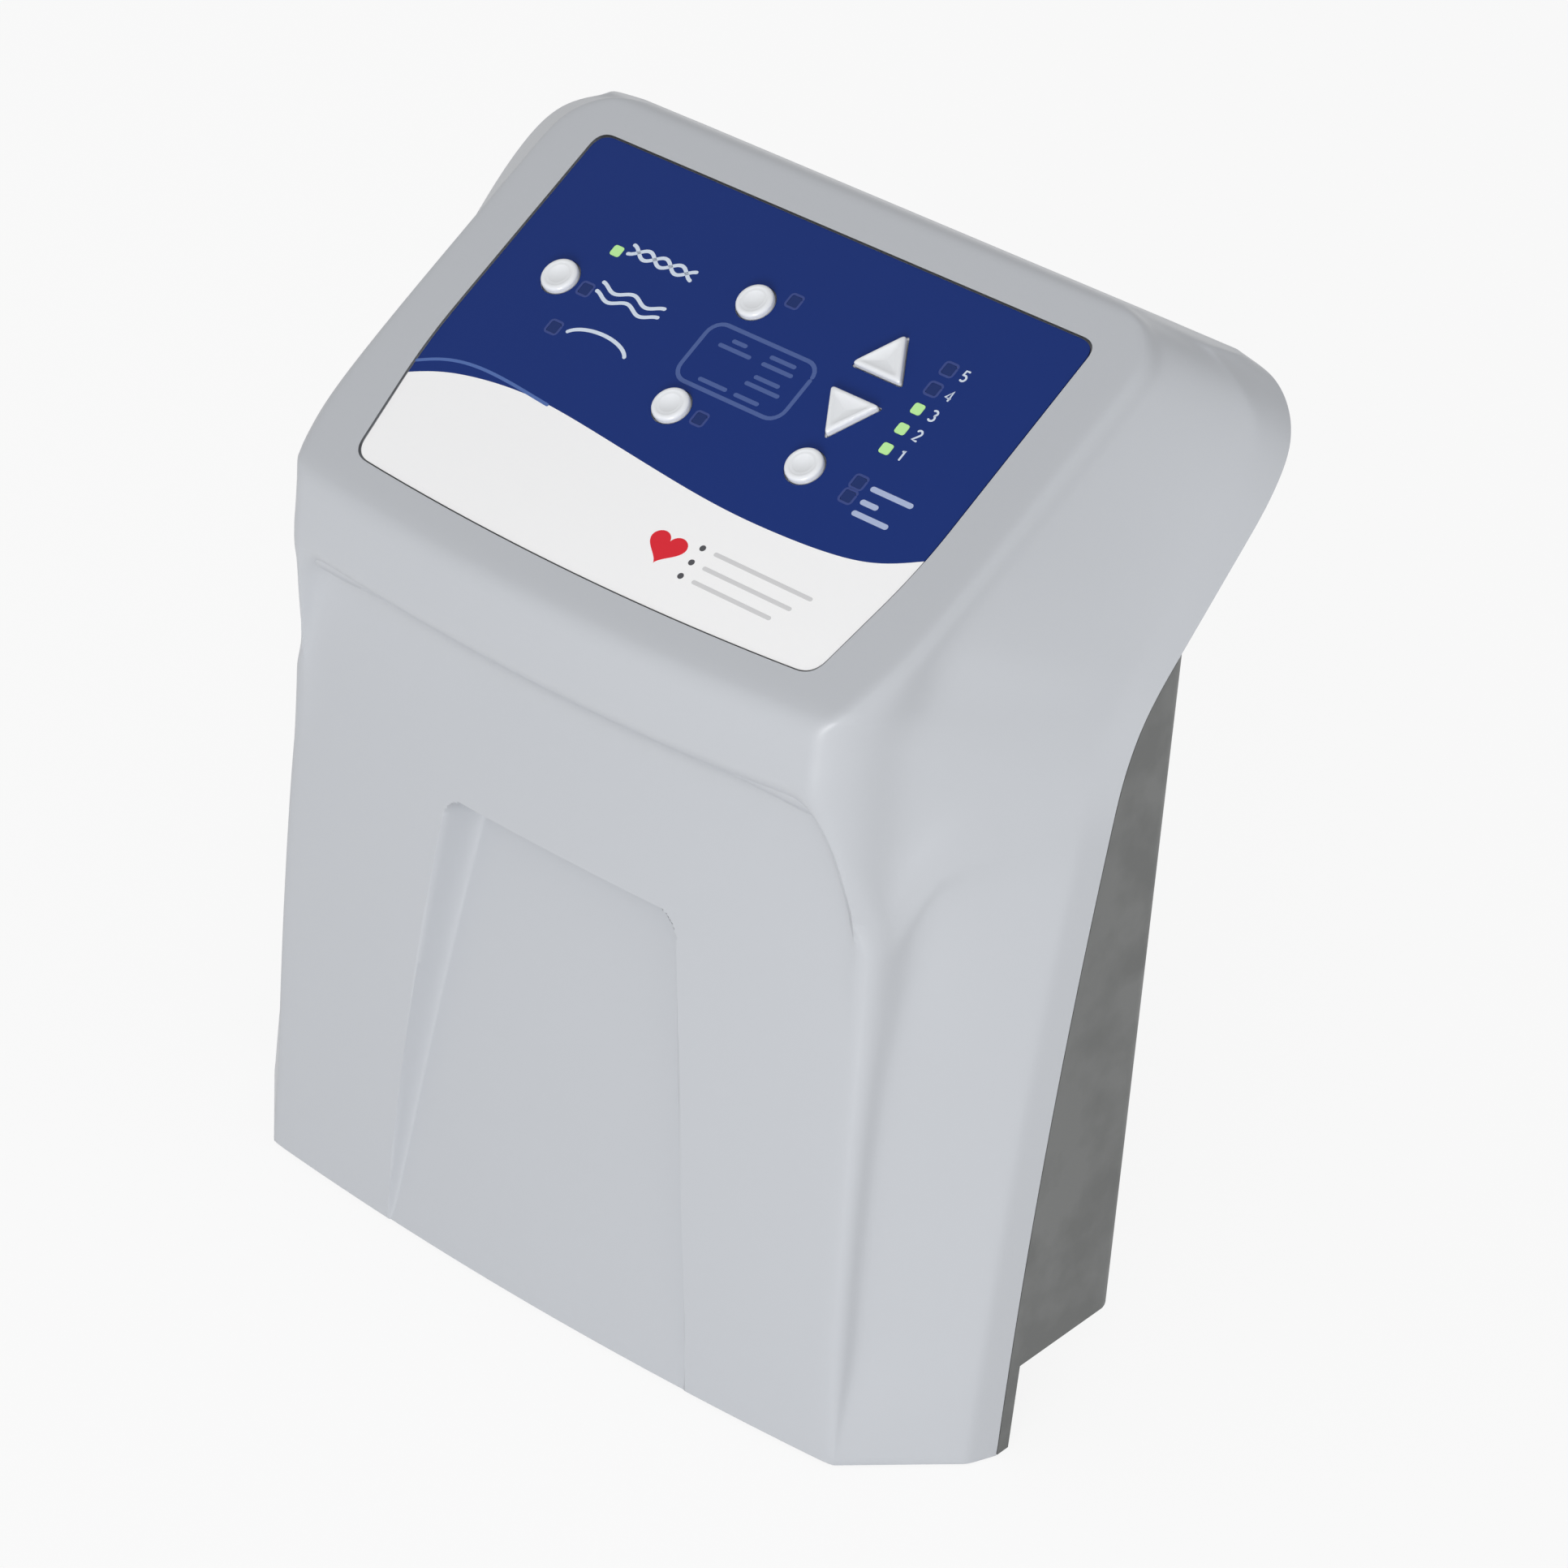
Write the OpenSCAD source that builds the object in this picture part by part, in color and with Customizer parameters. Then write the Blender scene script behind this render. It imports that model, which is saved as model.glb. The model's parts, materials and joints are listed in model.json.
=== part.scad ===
// Alternating pressure mattress pump: a bedside control unit that hangs on a footboard.
// X runs to the right seen from the front, Y to the back and Z up.
// The housing is drawn from the middle of its front bottom edge. place() then moves the whole
// so that the origin is the footboard's top edge, midway between the two hooks.

/* [Housing] */
// Half the width of the housing at the joint between its covers
half_w = 141; // [137:1:144]
// Wall of both covers
wall = 2.8; // [2.4:0.1:3]
// Height of the straight part of the front face, below the brow
face_h = 184; // [182:1:186]
// Depth of the front cover at its bottom edge
foot_depth = 39.6; // [39:0.2:41]
// Height of the tub's floor above the bottom edge
tub_floor = 26; // [24:1:27]
// Depth of the tapered recess in the front face, at its upper end
recess_d = 9; // [5:0.5:10]
// Height of the recess's upper edge
recess_h = 147; // [130:1:150]

/* [Panel] */
// Slope of the control panel
panel_tilt = 28.45; // [28:0.05:29]
// Half the width of the printed overlay
overlay_hw = 90; // [88:1:92]
// Length of the overlay, from its rear edge to the middle of its front edge
overlay_len = 121.5; // [119:0.5:122]
// Diameter of a round button
button_d = 12; // [10:0.5:12.5]
// Travel of a button
button_travel = 0.8; // [0.5:0.1:0.9]

/* [Hooks] */
// Clear gap between a hook's finger and its leg, for the footboard
hook_gap = 42; // [36:1:46]
// Length of a hook's finger
finger_l = 44; // [30:1:50]
// Distance of each hook from the middle
hook_x = 78; // [70:1:84]
// Diameter of a hook's rod
rod_d = 8; // [7:0.5:8]

/* [Connections] */
// Outer diameter of an air hose nozzle
nozzle_d = 10; // [8:0.5:12]
// Length of an air hose nozzle
nozzle_l = 16; // [12:1:18]

/* [Hidden] */
$fn = 48;
eps = 0.01;

light_grey = "#bfc2c7";
dark_grey = "#6d706f";
button_white = "#e8ebf0";
steel = "#b8bcc0";
black = "#242628";
board_green = "#2f6b45";

function lerp(a, b, t) = a + (b - a) * t;
function unit(v) = v / norm(v);

// Curve round the corner p between a and b. It starts cut_a before p and ends cut_b after it.
function bend(a, p, b, cut_a, cut_b, n) =
    let (from = p + unit(a - p) * cut_a, to = p + unit(b - p) * cut_b)
    [for (i = [0:n]) let (t = i / n) from * (1 - t) * (1 - t) + p * 2 * t * (1 - t) + to * t * t];

// Joint line between the covers, seen from the side as [y, z].
// The lower part leans back more and more, then the head turns back at one slope.
head_at = [106, 229];
head_slope = 41.9;
head_len = 81.4;
head_r = 32;
joint_top = 192;
bend_len = 24;
head_start = -9;
head_dir = [cos(head_slope), sin(head_slope)];
head_out = [-sin(head_slope), cos(head_slope)];
joint_corner = head_at - head_dir * 25.6;
function head(s, h = 0) = head_at + head_dir * s + head_out * h;
function joint_low(z) = [foot_depth + 0.15 * z + 0.00035 * z * z, z];
// Length along the joint line at the place s on the head.
function head_u(s) = joint_top + bend_len + s - head_start;
function joint(u) =
    u <= joint_top ? joint_low(u)
    : u >= joint_top + bend_len ? head(u - joint_top - bend_len + head_start)
    : let (t = (u - joint_top) / bend_len)
      joint_low(joint_top) * (1 - t) * (1 - t) + joint_corner * 2 * t * (1 - t) + head(head_start) * t * t;
// Half width of the joint line, with the head's corners rounded.
function joint_w(u) =
    let (s = u - head_u(head_len - head_r))
    s <= 0 ? half_w : half_w - head_r + sqrt(max(0, head_r * head_r - s * s));

// Panel plane: v runs up the slope from the overlay's rear edge, h stands square to it.
panel_at = [129.2, 293.6];
panel_dir = [cos(panel_tilt), sin(panel_tilt)];
panel_out = [-sin(panel_tilt), cos(panel_tilt)];
function panel(v, h = 0) = panel_at + panel_dir * v + panel_out * h;

// Centre line of the front face, which leans back a little more towards its top.
function lean(z) = 0.06 * z + 0.00028 * z * z;
// Half width of the front face, measured to its unrounded edge.
function face_w(z) = 111.8 - 3.6 * pow(z / face_h, 1.2);
face_bow = 0.0004;
// Depth of the valley beside the front face, behind its edge.
function face_groove(z) = 1.5 + 3.5 * min(1, z / 100);
// The face bows across less and less towards the brow, and more again above it.
function bow_at(z) = face_bow * (1 - exp(-pow((z - 192) / 17, 2)));

// Path of the front's centre line over the brow: a hollow underside, a lip and a round to the panel.
brow_under = [21.5, 199];
brow_lip = [8.6, 209];
brow_top = [9.6, panel_at[1] + (9.6 - panel_at[0]) * tan(panel_tilt)];
panel_from = -126;
brow_path = concat(
    bend([lean(face_h), face_h], brow_under, brow_lip, 11, 8, 5),
    bend(brow_under, brow_lip, brow_top, 5, 5, 3),
    bend(brow_lip, brow_top, panel(panel_from), 8, 8, 5));
n_brow = len(brow_path);

// A station of the front cover is a section in a plane that holds X:
// [joint point, front point, joint half width, flange depth, valley half width, valley drop,
// front half width, bow, bow direction, corner cut towards the side, corner cut towards the middle,
// draft of the flange].
face_stations = [for (i = [0:8]) let (z = (face_h - 1) * i / 9, w = face_w(z))
    [joint(z), [lean(z), z], half_w, max(9.5, 12 - z / 20), w + 2.2, face_groove(z), w, bow_at(z), [1, 0], 5.5,
     lerp(16, 9, min(1, z / 120)), 0.45]];
brow_stations = [for (i = [0:n_brow - 1])
    let (t = i / (n_brow - 1), ease = min(1, t * 2.2), f = brow_path[i],
         b = joint(lerp(face_h + 2, 207, t)), y = 30.2 + 2 * t + 11.2 * t * t * t, w = lerp(face_w(face_h), 106, ease),
         bow = bow_at(f[1]))
    [b, f, half_w, 9, w + lerp(2.2, 3, t), (y - f[0]) / (b[0] - f[0]) * norm(b - f) - bow * w * w, w, bow,
     unit(lerp([1, 0], panel_dir, max(0, t * 2 - 1))), lerp(5.5, 13, ease), lerp(9, 22, ease), lerp(0.45, 0.7, t)]];
panel_v = [-118, -108, -97, -82, -62, -40, -20, 0];
panel_stations = [for (v = panel_v)
    let (s = 60.4 + v * cos(head_slope - panel_tilt), t = (v - panel_v[0]) / -panel_v[0],
         u = head_u(s > 25 ? s : lerp(-14, 25, (s + 54.4) / 79.4)), f = panel(v), q = max(0, -v - 96) / 30,
         w = 108 - 6 * q * q, drop = lerp(6, 4, t) + 12.4 * exp((-118 - v) / 12))
    [joint(u), f, joint_w(u), 7, w + 3, drop, w, face_bow * (1 - t), panel_dir, 4,
     lerp(14, 6, min(1, t * 3)), 0.85]];
// The back of the head is a drafted wall, which rounds into the panel.
podium_r = 20;
rear_s = [67, 70.5, 72.8, 74.6, 76, 77.6, 79.6, head_len];
edge_land = 1.5;
function rear_top(s) =
    let (flat = 32.6 - (s - 60.4) * tan(head_slope - panel_tilt), side = (head_len - s) * 4.2, r = 5)
    side > flat + r ? flat : side < flat - r ? max(edge_land, side) : flat - pow(r - (side - flat), 2) / (4 * r);
rear_stations = [for (s = rear_s)
    let (u = head_u(s), w = joint_w(u), top = rear_top(s), q = min(podium_r, max(0, s - 54)),
         wp = min(108 - podium_r + sqrt(max(0, podium_r * podium_r - q * q)), w - top / 4 - 9),
         fd = min(top * 0.7, 7.5 + (half_w - w) * 0.55), drop = min(2.6, (top - fd) * 0.4))
    [joint(u), joint(u) + head_out * top, w, fd, wp + 4, drop, wp, 0, panel_dir, min(4, drop + 1), 6,
     lerp(0.8, 0.3, (s - rear_s[0]) / (head_len - rear_s[0]))]];
stations = concat(face_stations, brow_stations, panel_stations, rear_stations);

n_face = 4;

// One half of a station's section, from the joint line to the middle, as [x, y, z].
// t is the wall left outside it: 0 gives the outer skin.
function half_section(st, t) =
    let (b = st[0], f = st[1], d = norm(f - b), e = d > 0.3 ? (f - b) / d : head_out,
         depth = max(0.1, d - t), fd = min(st[3], d) - t * 0.6, w = st[2] - t, wp = max(1, min(st[6], w) - t),
         wv = min(st[4] - t * 0.7, w - st[11] * fd - 1),
         bow = st[8] * st[7],
         at0 = b - e * (t > 0 ? 1 : 0), at1 = b + e * fd, at2 = b + e * max(0.1, depth - st[5]) + bow * wp * wp,
         at3 = b + e * depth + bow * wp * wp,
         j0 = [w, at0[0], at0[1]], j1 = [w - st[11] * fd, at1[0], at1[1]],
         j2 = [wv, at2[0], at2[1]], j3 = [wp, at3[0], at3[1]], j4 = [0, at3[0], at3[1]],
         leg1 = norm(j1 - j2), leg2 = norm(j2 - j3),
         c1 = min(6, leg1 * 0.4, fd * 0.5), c2 = min(5, leg1 * 0.4, leg2 * 0.3), c3 = min(st[9], leg2 * 0.68))
    concat([j0],
        bend(j0, j1, j2, c1, c1, 4),
        bend(j1, j2, j3, c2, c2, 3),
        bend(j2, j3, j4, c3, min(st[10], wp * 0.5), 5),
        [for (i = [n_face:-1:1])
            let (x = (wp - st[10]) * i / (n_face + 1), at = b + e * depth + bow * x * x) [x, at[0], at[1]]]);

function mirrored(p) = [-p[0], p[1], p[2]];
function section(st, t) =
    let (half = half_section(st, t), b = st[0], f = st[1], d = norm(f - b), e = d > 0.3 ? (f - b) / d : head_out,
         mid = b + e * max(0.1, d - t))
    concat(half, [[0, mid[0], mid[1]]], [for (i = [len(half) - 1:-1:0]) mirrored(half[i])]);

// Closed solid through a list of rings that have the same number of points.
module loft(rings) {
    n = len(rings[0]);
    m = len(rings);
    sides = [for (j = [0:m - 2], i = [0:n - 1]) let (k = (i + 1) % n, a = j * n, c = a + n)
        each [[a + i, a + k, c + k], [a + i, c + k, c + i]]];
    polyhedron([for (r = rings) each r],
        concat([[for (i = [n - 1:-1:0]) i]], sides, [[for (i = [0:n - 1]) (m - 1) * n + i]]));
}

// Half width and depth of the tapered recess at height z.
function recess_w(z) = 59 - 15.5 * pow(max(0, z) / 146, 1.3);
function recess_depth(z) = 0.3 + (recess_d - 0.3) * pow(max(0, z) / recess_h, 0.9);

// Solid that cuts the recess. t makes it thicker for the inside of the wall.
module recess(t) {
    top = recess_h + t;
    rings = [for (z = [-2, 12, 40, 68, 96, 120, 138, top - 1.5, top])
        let (d = recess_depth(z) + t, w = recess_w(z) + t - (z > top - 1 ? 2.5 : 0), y = lean(max(0, z)),
             slope = min(8, d * 0.85))
        let (half = [[w + 4, y - 12, z], [w, y + face_bow * w * w - 0.6, z], [w - slope * 0.7, y + d * 0.82, z],
             [w - slope - 2, y + d, z]])
        concat([for (p = half) mirrored(p)], [[0, y + d * 0.94, z]], [for (i = [3:-1:0]) half[i]])];
    loft(rings);
}

// Puts [u, v, h] of the panel in place.
module on_panel() translate([0, panel_at[0], panel_at[1]]) rotate([panel_tilt, 0, 0]) children();
// Puts things on the head's joint plane: Y runs up the slope and Z stands out of it to the front.
module on_head() translate([0, head_at[0], head_at[1]]) rotate([head_slope, 0, 0]) children();

// The tub's back wall leans back. On it, X is across, Z runs up the wall and Y points out of it.
back_lean = 6;
back_at = [91.8, 51];
function back_y(z) = back_at[0] + (z - back_at[1]) * tan(back_lean);
module on_back() translate([0, back_at[0], back_at[1]]) rotate([-back_lean, 0, 0]) children();
// Place on the head's joint plane where the back wall meets it.
wall_meet = (back_y(head_at[1]) - head_at[0]) / (head_dir[0] - head_dir[1] * tan(back_lean));

// The origin is the seat of the hooks: halfway across their gap, level with their arms' underside.
leg_y = 8;
arm_z = 166;
seat = let (y = leg_y + rod_d / 2 + hook_gap / 2, z = arm_z - rod_d / 2)
    [0, back_at[0] + y * cos(back_lean) + z * sin(back_lean), back_at[1] - y * sin(back_lean) + z * cos(back_lean)];
module place() translate(-seat) children();

// Outline of the overlay: straight sides that taper at the front, and a bowed front edge.
overlay_taper_v = -80;
overlay_front_hw = overlay_hw - 6;
function front_edge(u) = 0.00065 * u * u - overlay_len;
module overlay_outline(grow) {
    w = overlay_hw + grow;
    wf = overlay_front_hw + grow;
    corners = [[w, grow], [w, overlay_taper_v], [wf, front_edge(wf) - grow]];
    right = concat(bend([0, grow], corners[0], corners[1], 5, 5, 5),
        bend(corners[0], corners[1], corners[2], 10, 10, 4),
        bend(corners[1], corners[2], [wf - 20, front_edge(wf - 20) - grow], 6, 6, 5));
    edge = [for (u = [3:-1:-3]) [u * 20, front_edge(u * 20) - grow]];
    polygon(concat(right, edge, [for (i = [len(right) - 1:-1:0]) [-right[i][0], right[i][1]]]));
}

// Buttons by their [u, v] on the panel.
mode_at = [-67.6, -45.3];
firm_at = [-8, -28.7];
lock_at = [-8, -66.8];
sound_at = [40.3, -66.7];
round_at = [mode_at, firm_at, lock_at, sound_at];
raise_at = [40.5, -29.2];
lower_at = [39.7, -47.4];
tri_base = 17.4;
tri_h = 14;
cap_gap = 0.35;
lamp_w = 3.5;
level_v = [-24.1, -31.2, -38.3, -45.4, -52.5];
lamp_at = concat([for (v = level_v) [57.8, v]],
    [[-57.7, -30.9], [-58.1, -45.1], [-57.8, -59.3], [2.4, -23.4], [2.4, -66.6], [58.1, -64.4], [58.1, -69.4]]);
// Levels below the panel plane.
film_top = -0.2;
film_t = 0.5;
plate_top = film_top - film_t;
plate_bottom = -4.4;
lip_top = -wall - 0.1;
cap_lip_top = plate_bottom - cap_gap;
cap_lip_t = 1;
mat_top = cap_lip_top - cap_lip_t - button_travel - cap_gap;
mat_bottom = mat_top - 2.4;
board_t = 1.6;
window_u = 77;
window_v = [-79, -13];

module panel_block(u, v, h) translate([-u, v[0], h[0]]) cube([2 * u, v[1] - v[0], h[1] - h[0]]);

// Triangle with rounded corners, pointing up the panel.
module triangle(grow) {
    a = [-tri_base / 2 - grow * 1.6, -tri_h * 0.36 - grow];
    b = [tri_base / 2 + grow * 1.6, a[1]];
    c = [0, tri_h * 0.64 + grow * 2];
    polygon(concat(bend(c, a, b, 1.4, 1.4, 3), bend(a, b, c, 1.4, 1.4, 3), bend(b, c, a, 1.4, 1.4, 3)));
}

module button_holes(grow, h) {
    for (p = round_at)
        translate([p[0], p[1], h[0]]) cylinder(d = button_d + 2 * grow, h = h[1] - h[0]);
    translate([raise_at[0], raise_at[1], h[0]]) linear_extrude(h[1] - h[0]) triangle(grow);
    translate([lower_at[0], lower_at[1], h[0]]) rotate([0, 0, 180]) linear_extrude(h[1] - h[0]) triangle(grow);
}

module lamp_blocks(w, h)
    for (p = lamp_at)
        translate([p[0] - w / 2, p[1] - w / 2, h[0]]) cube([w, w, h[1] - h[0]]);

// Screw bosses that hold the covers together: two low, two high and two in the head.
boss_x = 96;
boss_low_z = [62, 184];
head_boss = [84, 66.5];
pilot_r = 1.55;

module low_bosses(r, from, to)
    for (side = [-1, 1], i = [0, 1])
        translate([side * boss_x, from[i], boss_low_z[i]]) rotate([-90, 0, 0]) cylinder(r = r, h = to[i] - from[i]);

function face_skin(z) = lean(z) + face_bow * boss_x * boss_x;

module front_cover() color(light_grey) {
    difference() {
        loft([for (s = stations) section(s, 0)]);
        difference() {
            loft(inner_rings);
            recess(wall);
        }
        recess(0);
        on_panel() translate([0, 0, plate_top - 0.05]) linear_extrude(5) overlay_outline(0.4);
        on_panel() panel_block(window_u, window_v, [-9, 1]);
    }
    difference() {
        low_bosses(4.5, [for (z = boss_low_z) face_skin(z) + 1.4], [for (z = boss_low_z) joint(z)[0] - 0.1]);
        low_bosses(pilot_r, [for (z = boss_low_z) joint(z)[0] - 18], [for (z = boss_low_z) joint(z)[0] + 1]);
    }
    on_head() for (side = [-1, 1]) translate([side * head_boss[0], head_boss[1], 3.1])
        difference() {
            cylinder(r = 4.5, h = 25.4);
            translate([0, 0, -1]) cylinder(r = pilot_r, h = 18);
        }
}

// Inside of the front cover. It starts above the bottom wall and ends inside the back of the head.
inner_rings = concat(
    [section([joint(wall), [lean(wall), wall], half_w, 12, face_w(0) + 4, 1, face_w(0), face_bow, [1, 0], 5.5, 9, 0.45], wall)],
    [for (i = [1:len(stations) - 6]) section(stations[i], wall)]);

module rear_profile(t) {
    steps = [for (u = [0:14:joint_top]) joint(u)];
    top = [for (u = [joint_top:5:head_u(wall_meet - 4)]) joint(u)];
    edge = [for (p = concat(steps, top)) p + [0.4 - t * 4, 0]];
    top_z = head(wall_meet - 1)[1];
    z = tub_floor + t;
    heel = bend([back_y(100) - t, 100], [back_y(z) - t, z], [60, z], 5, 5, 5);
    polygon(concat(edge, [[back_y(top_z) - t, top_z]], heel,
        [[joint(z)[0] + 5 - t, z], [foot_depth + 5 - t, t]]));
}

module tub(t) {
    r = 6 - t;
    w = half_w - t;
    intersection() {
        rotate([90, 0, 90]) translate([0, 0, -w]) linear_extrude(2 * w) rear_profile(t);
        union() {
            translate([-w, -20, -1]) cube([2 * w, 83, 240]);
            on_back() back_block(w, r, t);
        }
    }
}

// Block up to the back wall with its upright edges rounded.
module back_block(w, r, t)
    translate([0, -t, -60]) linear_extrude(260) {
        translate([-w, -45]) square([2 * w, 45 - r]);
        translate([r - w, -45]) square([2 * (w - r), 45]);
        for (side = [-1, 1]) translate([side * (w - r), -r]) circle(r = r);
    }

inlet_x = -104;
switch_x = -62;
fuse_x = [-34, -16];
port_x = [2, 26];
strip_y = 67;
filter_z = 62;
filter_w = 60;
filter_h = 44;
main_board_z = [112, 168];
main_board_x = [-62, 28];
power_board_x = [31, 131];
power_board_z = [20, 86];

valve_at = [16, -44, 104];
valve_r = 20;
ear_x = 25;

module post(x, z, len, r = 3.5)
    translate([x, -wall + 0.5, z]) rotate([90, 0, 0]) difference() {
        cylinder(r = r, h = len);
        translate([0, 0, 3]) cylinder(r = 1.3, h = len);
    }

module rear_cover() color(dark_grey) {
    difference() {
        union() {
            difference() {
                tub(0);
                tub(wall);
            }
            low_posts();
        }
        low_bosses(3.8, [for (z = boss_low_z) joint(z)[0] + 7], [for (z = boss_low_z) back_y(z) + 5]);
        low_bosses(1.9, [for (z = boss_low_z) joint(z)[0] - 5], [for (z = boss_low_z) joint(z)[0] + 20]);
        translate([inlet_x - 14, strip_y - 10.2, 10]) cube([28, 20.4, 40]);
        translate([switch_x - 10.2, strip_y - 6.7, 10]) cube([20.4, 13.4, 40]);
        for (x = fuse_x) translate([x, strip_y, 10]) cylinder(r = 6.2, h = 40);
        for (x = port_x) translate([x, strip_y, 10]) cylinder(r = 6.2, h = 40);
        on_back() translate([-filter_w / 2 + 3, -15, filter_z - filter_h / 2 + 3])
            cube([filter_w - 6, 30, filter_h - 6]);
    }
    on_head() head_plate();
    on_back() {
        for (x = [main_board_x[0] + 5, main_board_x[1] - 5], z = [main_board_z[0] + 5, main_board_z[1] - 5])
            post(x, z, 12);
        for (x = [power_board_x[0] + 5, power_board_x[1] - 5], z = [power_board_z[0] + 5, power_board_z[1] - 5])
            post(x, z, 12);
        for (side = [-1, 1]) post(valve_at[0] + side * ear_x, valve_at[2], -valve_at[1] - 14 - wall + 0.5, 4);
    }
}

module low_posts()
    intersection() {
        low_bosses(6.3, [for (z = boss_low_z) joint(z)[0] + 0.4], [for (z = boss_low_z) back_y(z) + 2]);
        tub(0.5);
    }

// Plate that closes the head from behind. It lies inside the front cover's rim, clear of its draft.
plate_inset = 5.6;
plate_end = 72.2;
module head_plate() {
    w = half_w - plate_inset;
    r = head_r - plate_inset;
    difference() {
        linear_extrude(wall) intersection() {
            union() {
                translate([-w, -13]) square([2 * w, head_len - head_r + 13]);
                translate([r - w, -13]) square([2 * (w - r), head_len + 13]);
                for (side = [-1, 1]) translate([side * (w - r), head_len - head_r]) circle(r = r, $fn = 96);
            }
            translate([-w, -20]) square([2 * w, 20 + plate_end]);
        }
        translate([-w + 4, -20, -2]) cube([2 * w - 8, 20.6 + wall_meet, 10]);
        for (side = [-1, 1]) translate([side * head_boss[0], head_boss[1], -1]) cylinder(r = 1.9, h = 5);
    }
    translate([-w, wall_meet - 3.4, -2]) cube([2 * w, 6, 2 + wall]);
}

module overlay() color("#1e357a") on_panel()
    difference() {
        translate([0, 0, film_top - film_t]) linear_extrude(film_t) overlay_outline(0);
        button_holes(0.6, [-2, 1]);
        lamp_blocks(lamp_w + 0.2, [-2, 1]);
    }

post_at = [for (u = [-81, 81], v = [-81, -11]) [u, v]];

module button_plate() color("#d8dadd") on_panel()
    difference() {
        union() {
            panel_block(window_u - 0.3, [window_v[0] + 0.3, window_v[1] - 0.3], [lip_top - 1, plate_top - 0.1]);
            panel_block(86, [-87, -5], [plate_bottom, lip_top]);
            for (p = post_at) translate([p[0], p[1], mat_bottom]) cylinder(r = 3, h = plate_bottom - mat_bottom + 0.5);
        }
        button_holes(cap_gap, [-8, 1]);
        lamp_blocks(lamp_w + 0.2, [-8, 1]);
        for (p = post_at) translate([p[0], p[1], mat_bottom - 1]) cylinder(r = 1.05, h = 6);
    }

// Round cap: a domed top, a straight skirt that slides in the plate, and a lip that keeps it in.
module round_cap(p) color(button_white) on_panel() translate([p[0], p[1], 0])
    rotate_extrude() {
        r = button_d / 2;
        dome = [for (a = [0:15:90]) [r - 1.6 + 1.6 * cos(a), 0.5 + 1.1 * sin(a)]];
        crown = [for (x = [3:-1:0]) [x, 1.6 + 0.7 * (1 - x * x / 19.4)]];
        polygon(concat([[0, cap_lip_top - cap_lip_t], [r + 1.4, cap_lip_top - cap_lip_t],
            [r + 1.4, cap_lip_top], [r, cap_lip_top]], dome, crown));
    }

module triangle_cap(p, turn) color(button_white) on_panel() translate([p[0], p[1], 0]) rotate([0, 0, turn]) {
    translate([0, 0, cap_lip_top - cap_lip_t]) linear_extrude(cap_lip_t + eps) triangle(1.1);
    translate([0, 0, cap_lip_top]) linear_extrude(0.6 - cap_lip_top) triangle(0);
    hull() {
        translate([0, 0, 0.5]) linear_extrude(0.1) triangle(0);
        translate([0, 0, 1.3]) linear_extrude(0.1) triangle(-0.5);
        translate([0, 0, 1.9]) linear_extrude(0.1) triangle(-1.8);
    }
}

module mode_button() round_cap(mode_at);
module firm_button() round_cap(firm_at);
module lock_button() round_cap(lock_at);
module sound_button() round_cap(sound_at);
module raise_button() triangle_cap(raise_at, 0);
module lower_button() triangle_cap(lower_at, 180);

// Rubber mat with a hollow-footed dome under each cap and a window for each lamp.
module keypad_mat() color("#9aa0a6") on_panel()
    difference() {
        union() {
            panel_block(76, [-77, -16], [mat_bottom, mat_bottom + 1]);
            for (p = concat(round_at, [raise_at, lower_at]))
                translate([p[0], p[1], mat_bottom]) cylinder(r1 = 5.4, r2 = 3, h = mat_top - mat_bottom);
        }
        lamp_blocks(4.3, [mat_bottom - 1, mat_bottom + 3]);
    }

module lamps() color("#d9e8c8") on_panel() lamp_blocks(lamp_w, [mat_bottom + 1.4, film_top]);

module panel_board() color(board_green) on_panel()
    difference() {
        union() {
            panel_block(85, [-86, -6], [mat_bottom - board_t, mat_bottom]);
            lamp_blocks(2.4, [mat_bottom - eps, mat_bottom + 0.8]);
            translate([-20, -36, mat_bottom - board_t - 5]) cube([40, 7, 5 + eps]);
        }
        for (p = post_at) translate([p[0], p[1], mat_bottom - 5]) cylinder(r = 1.3, h = 9);
    }

// Pan head screw along +Z, with its head below the origin.
module screw(r, len, head_r, head_h) {
    cylinder(r = r, h = len);
    translate([0, 0, -head_h]) cylinder(r = head_r, h = head_h);
}

module panel_screws() color(steel) on_panel()
    for (p = post_at) translate([p[0], p[1], mat_bottom - board_t]) screw(1, 5.5, 2.3, 1.5);

board_y = -wall + 0.5 - 12 - board_t;
module board_on_back(x, z) translate([x[0], board_y, z[0]])
    cube([x[1] - x[0], board_t, z[1] - z[0]]);
module board_holes(x, z)
    for (a = [x[0] + 5, x[1] - 5], b = [z[0] + 5, z[1] - 5])
        translate([a, -20, b]) rotate([-90, 0, 0]) cylinder(r = 1.6, h = 12);

module main_board() color(board_green) on_back()
    difference() {
        union() {
            board_on_back(main_board_x, main_board_z);
            translate([-52, board_y - 3, 132]) cube([24, 3 + eps, 24]);
            translate([-14, board_y - 8, 142]) cube([14, 8 + eps, 10]);
            translate([-22, board_y - 6, 158]) cube([40, 6 + eps, 6]);
            for (x = [-44, -30]) translate([x, board_y + eps, 124]) rotate([90, 0, 0]) cylinder(r = 4, h = 12);
        }
        board_holes(main_board_x, main_board_z);
    }

module power_board() color(board_green) on_back()
    difference() {
        union() {
            board_on_back(power_board_x, power_board_z);
            for (z = [36, 52]) translate([122, board_y + eps, z]) rotate([90, 0, 0]) cylinder(r = 6, h = 24);
            translate([90, board_y - 12, 73]) cube([26, 12 + eps, 9]);
        }
        board_holes(power_board_x, power_board_z);
    }

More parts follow.
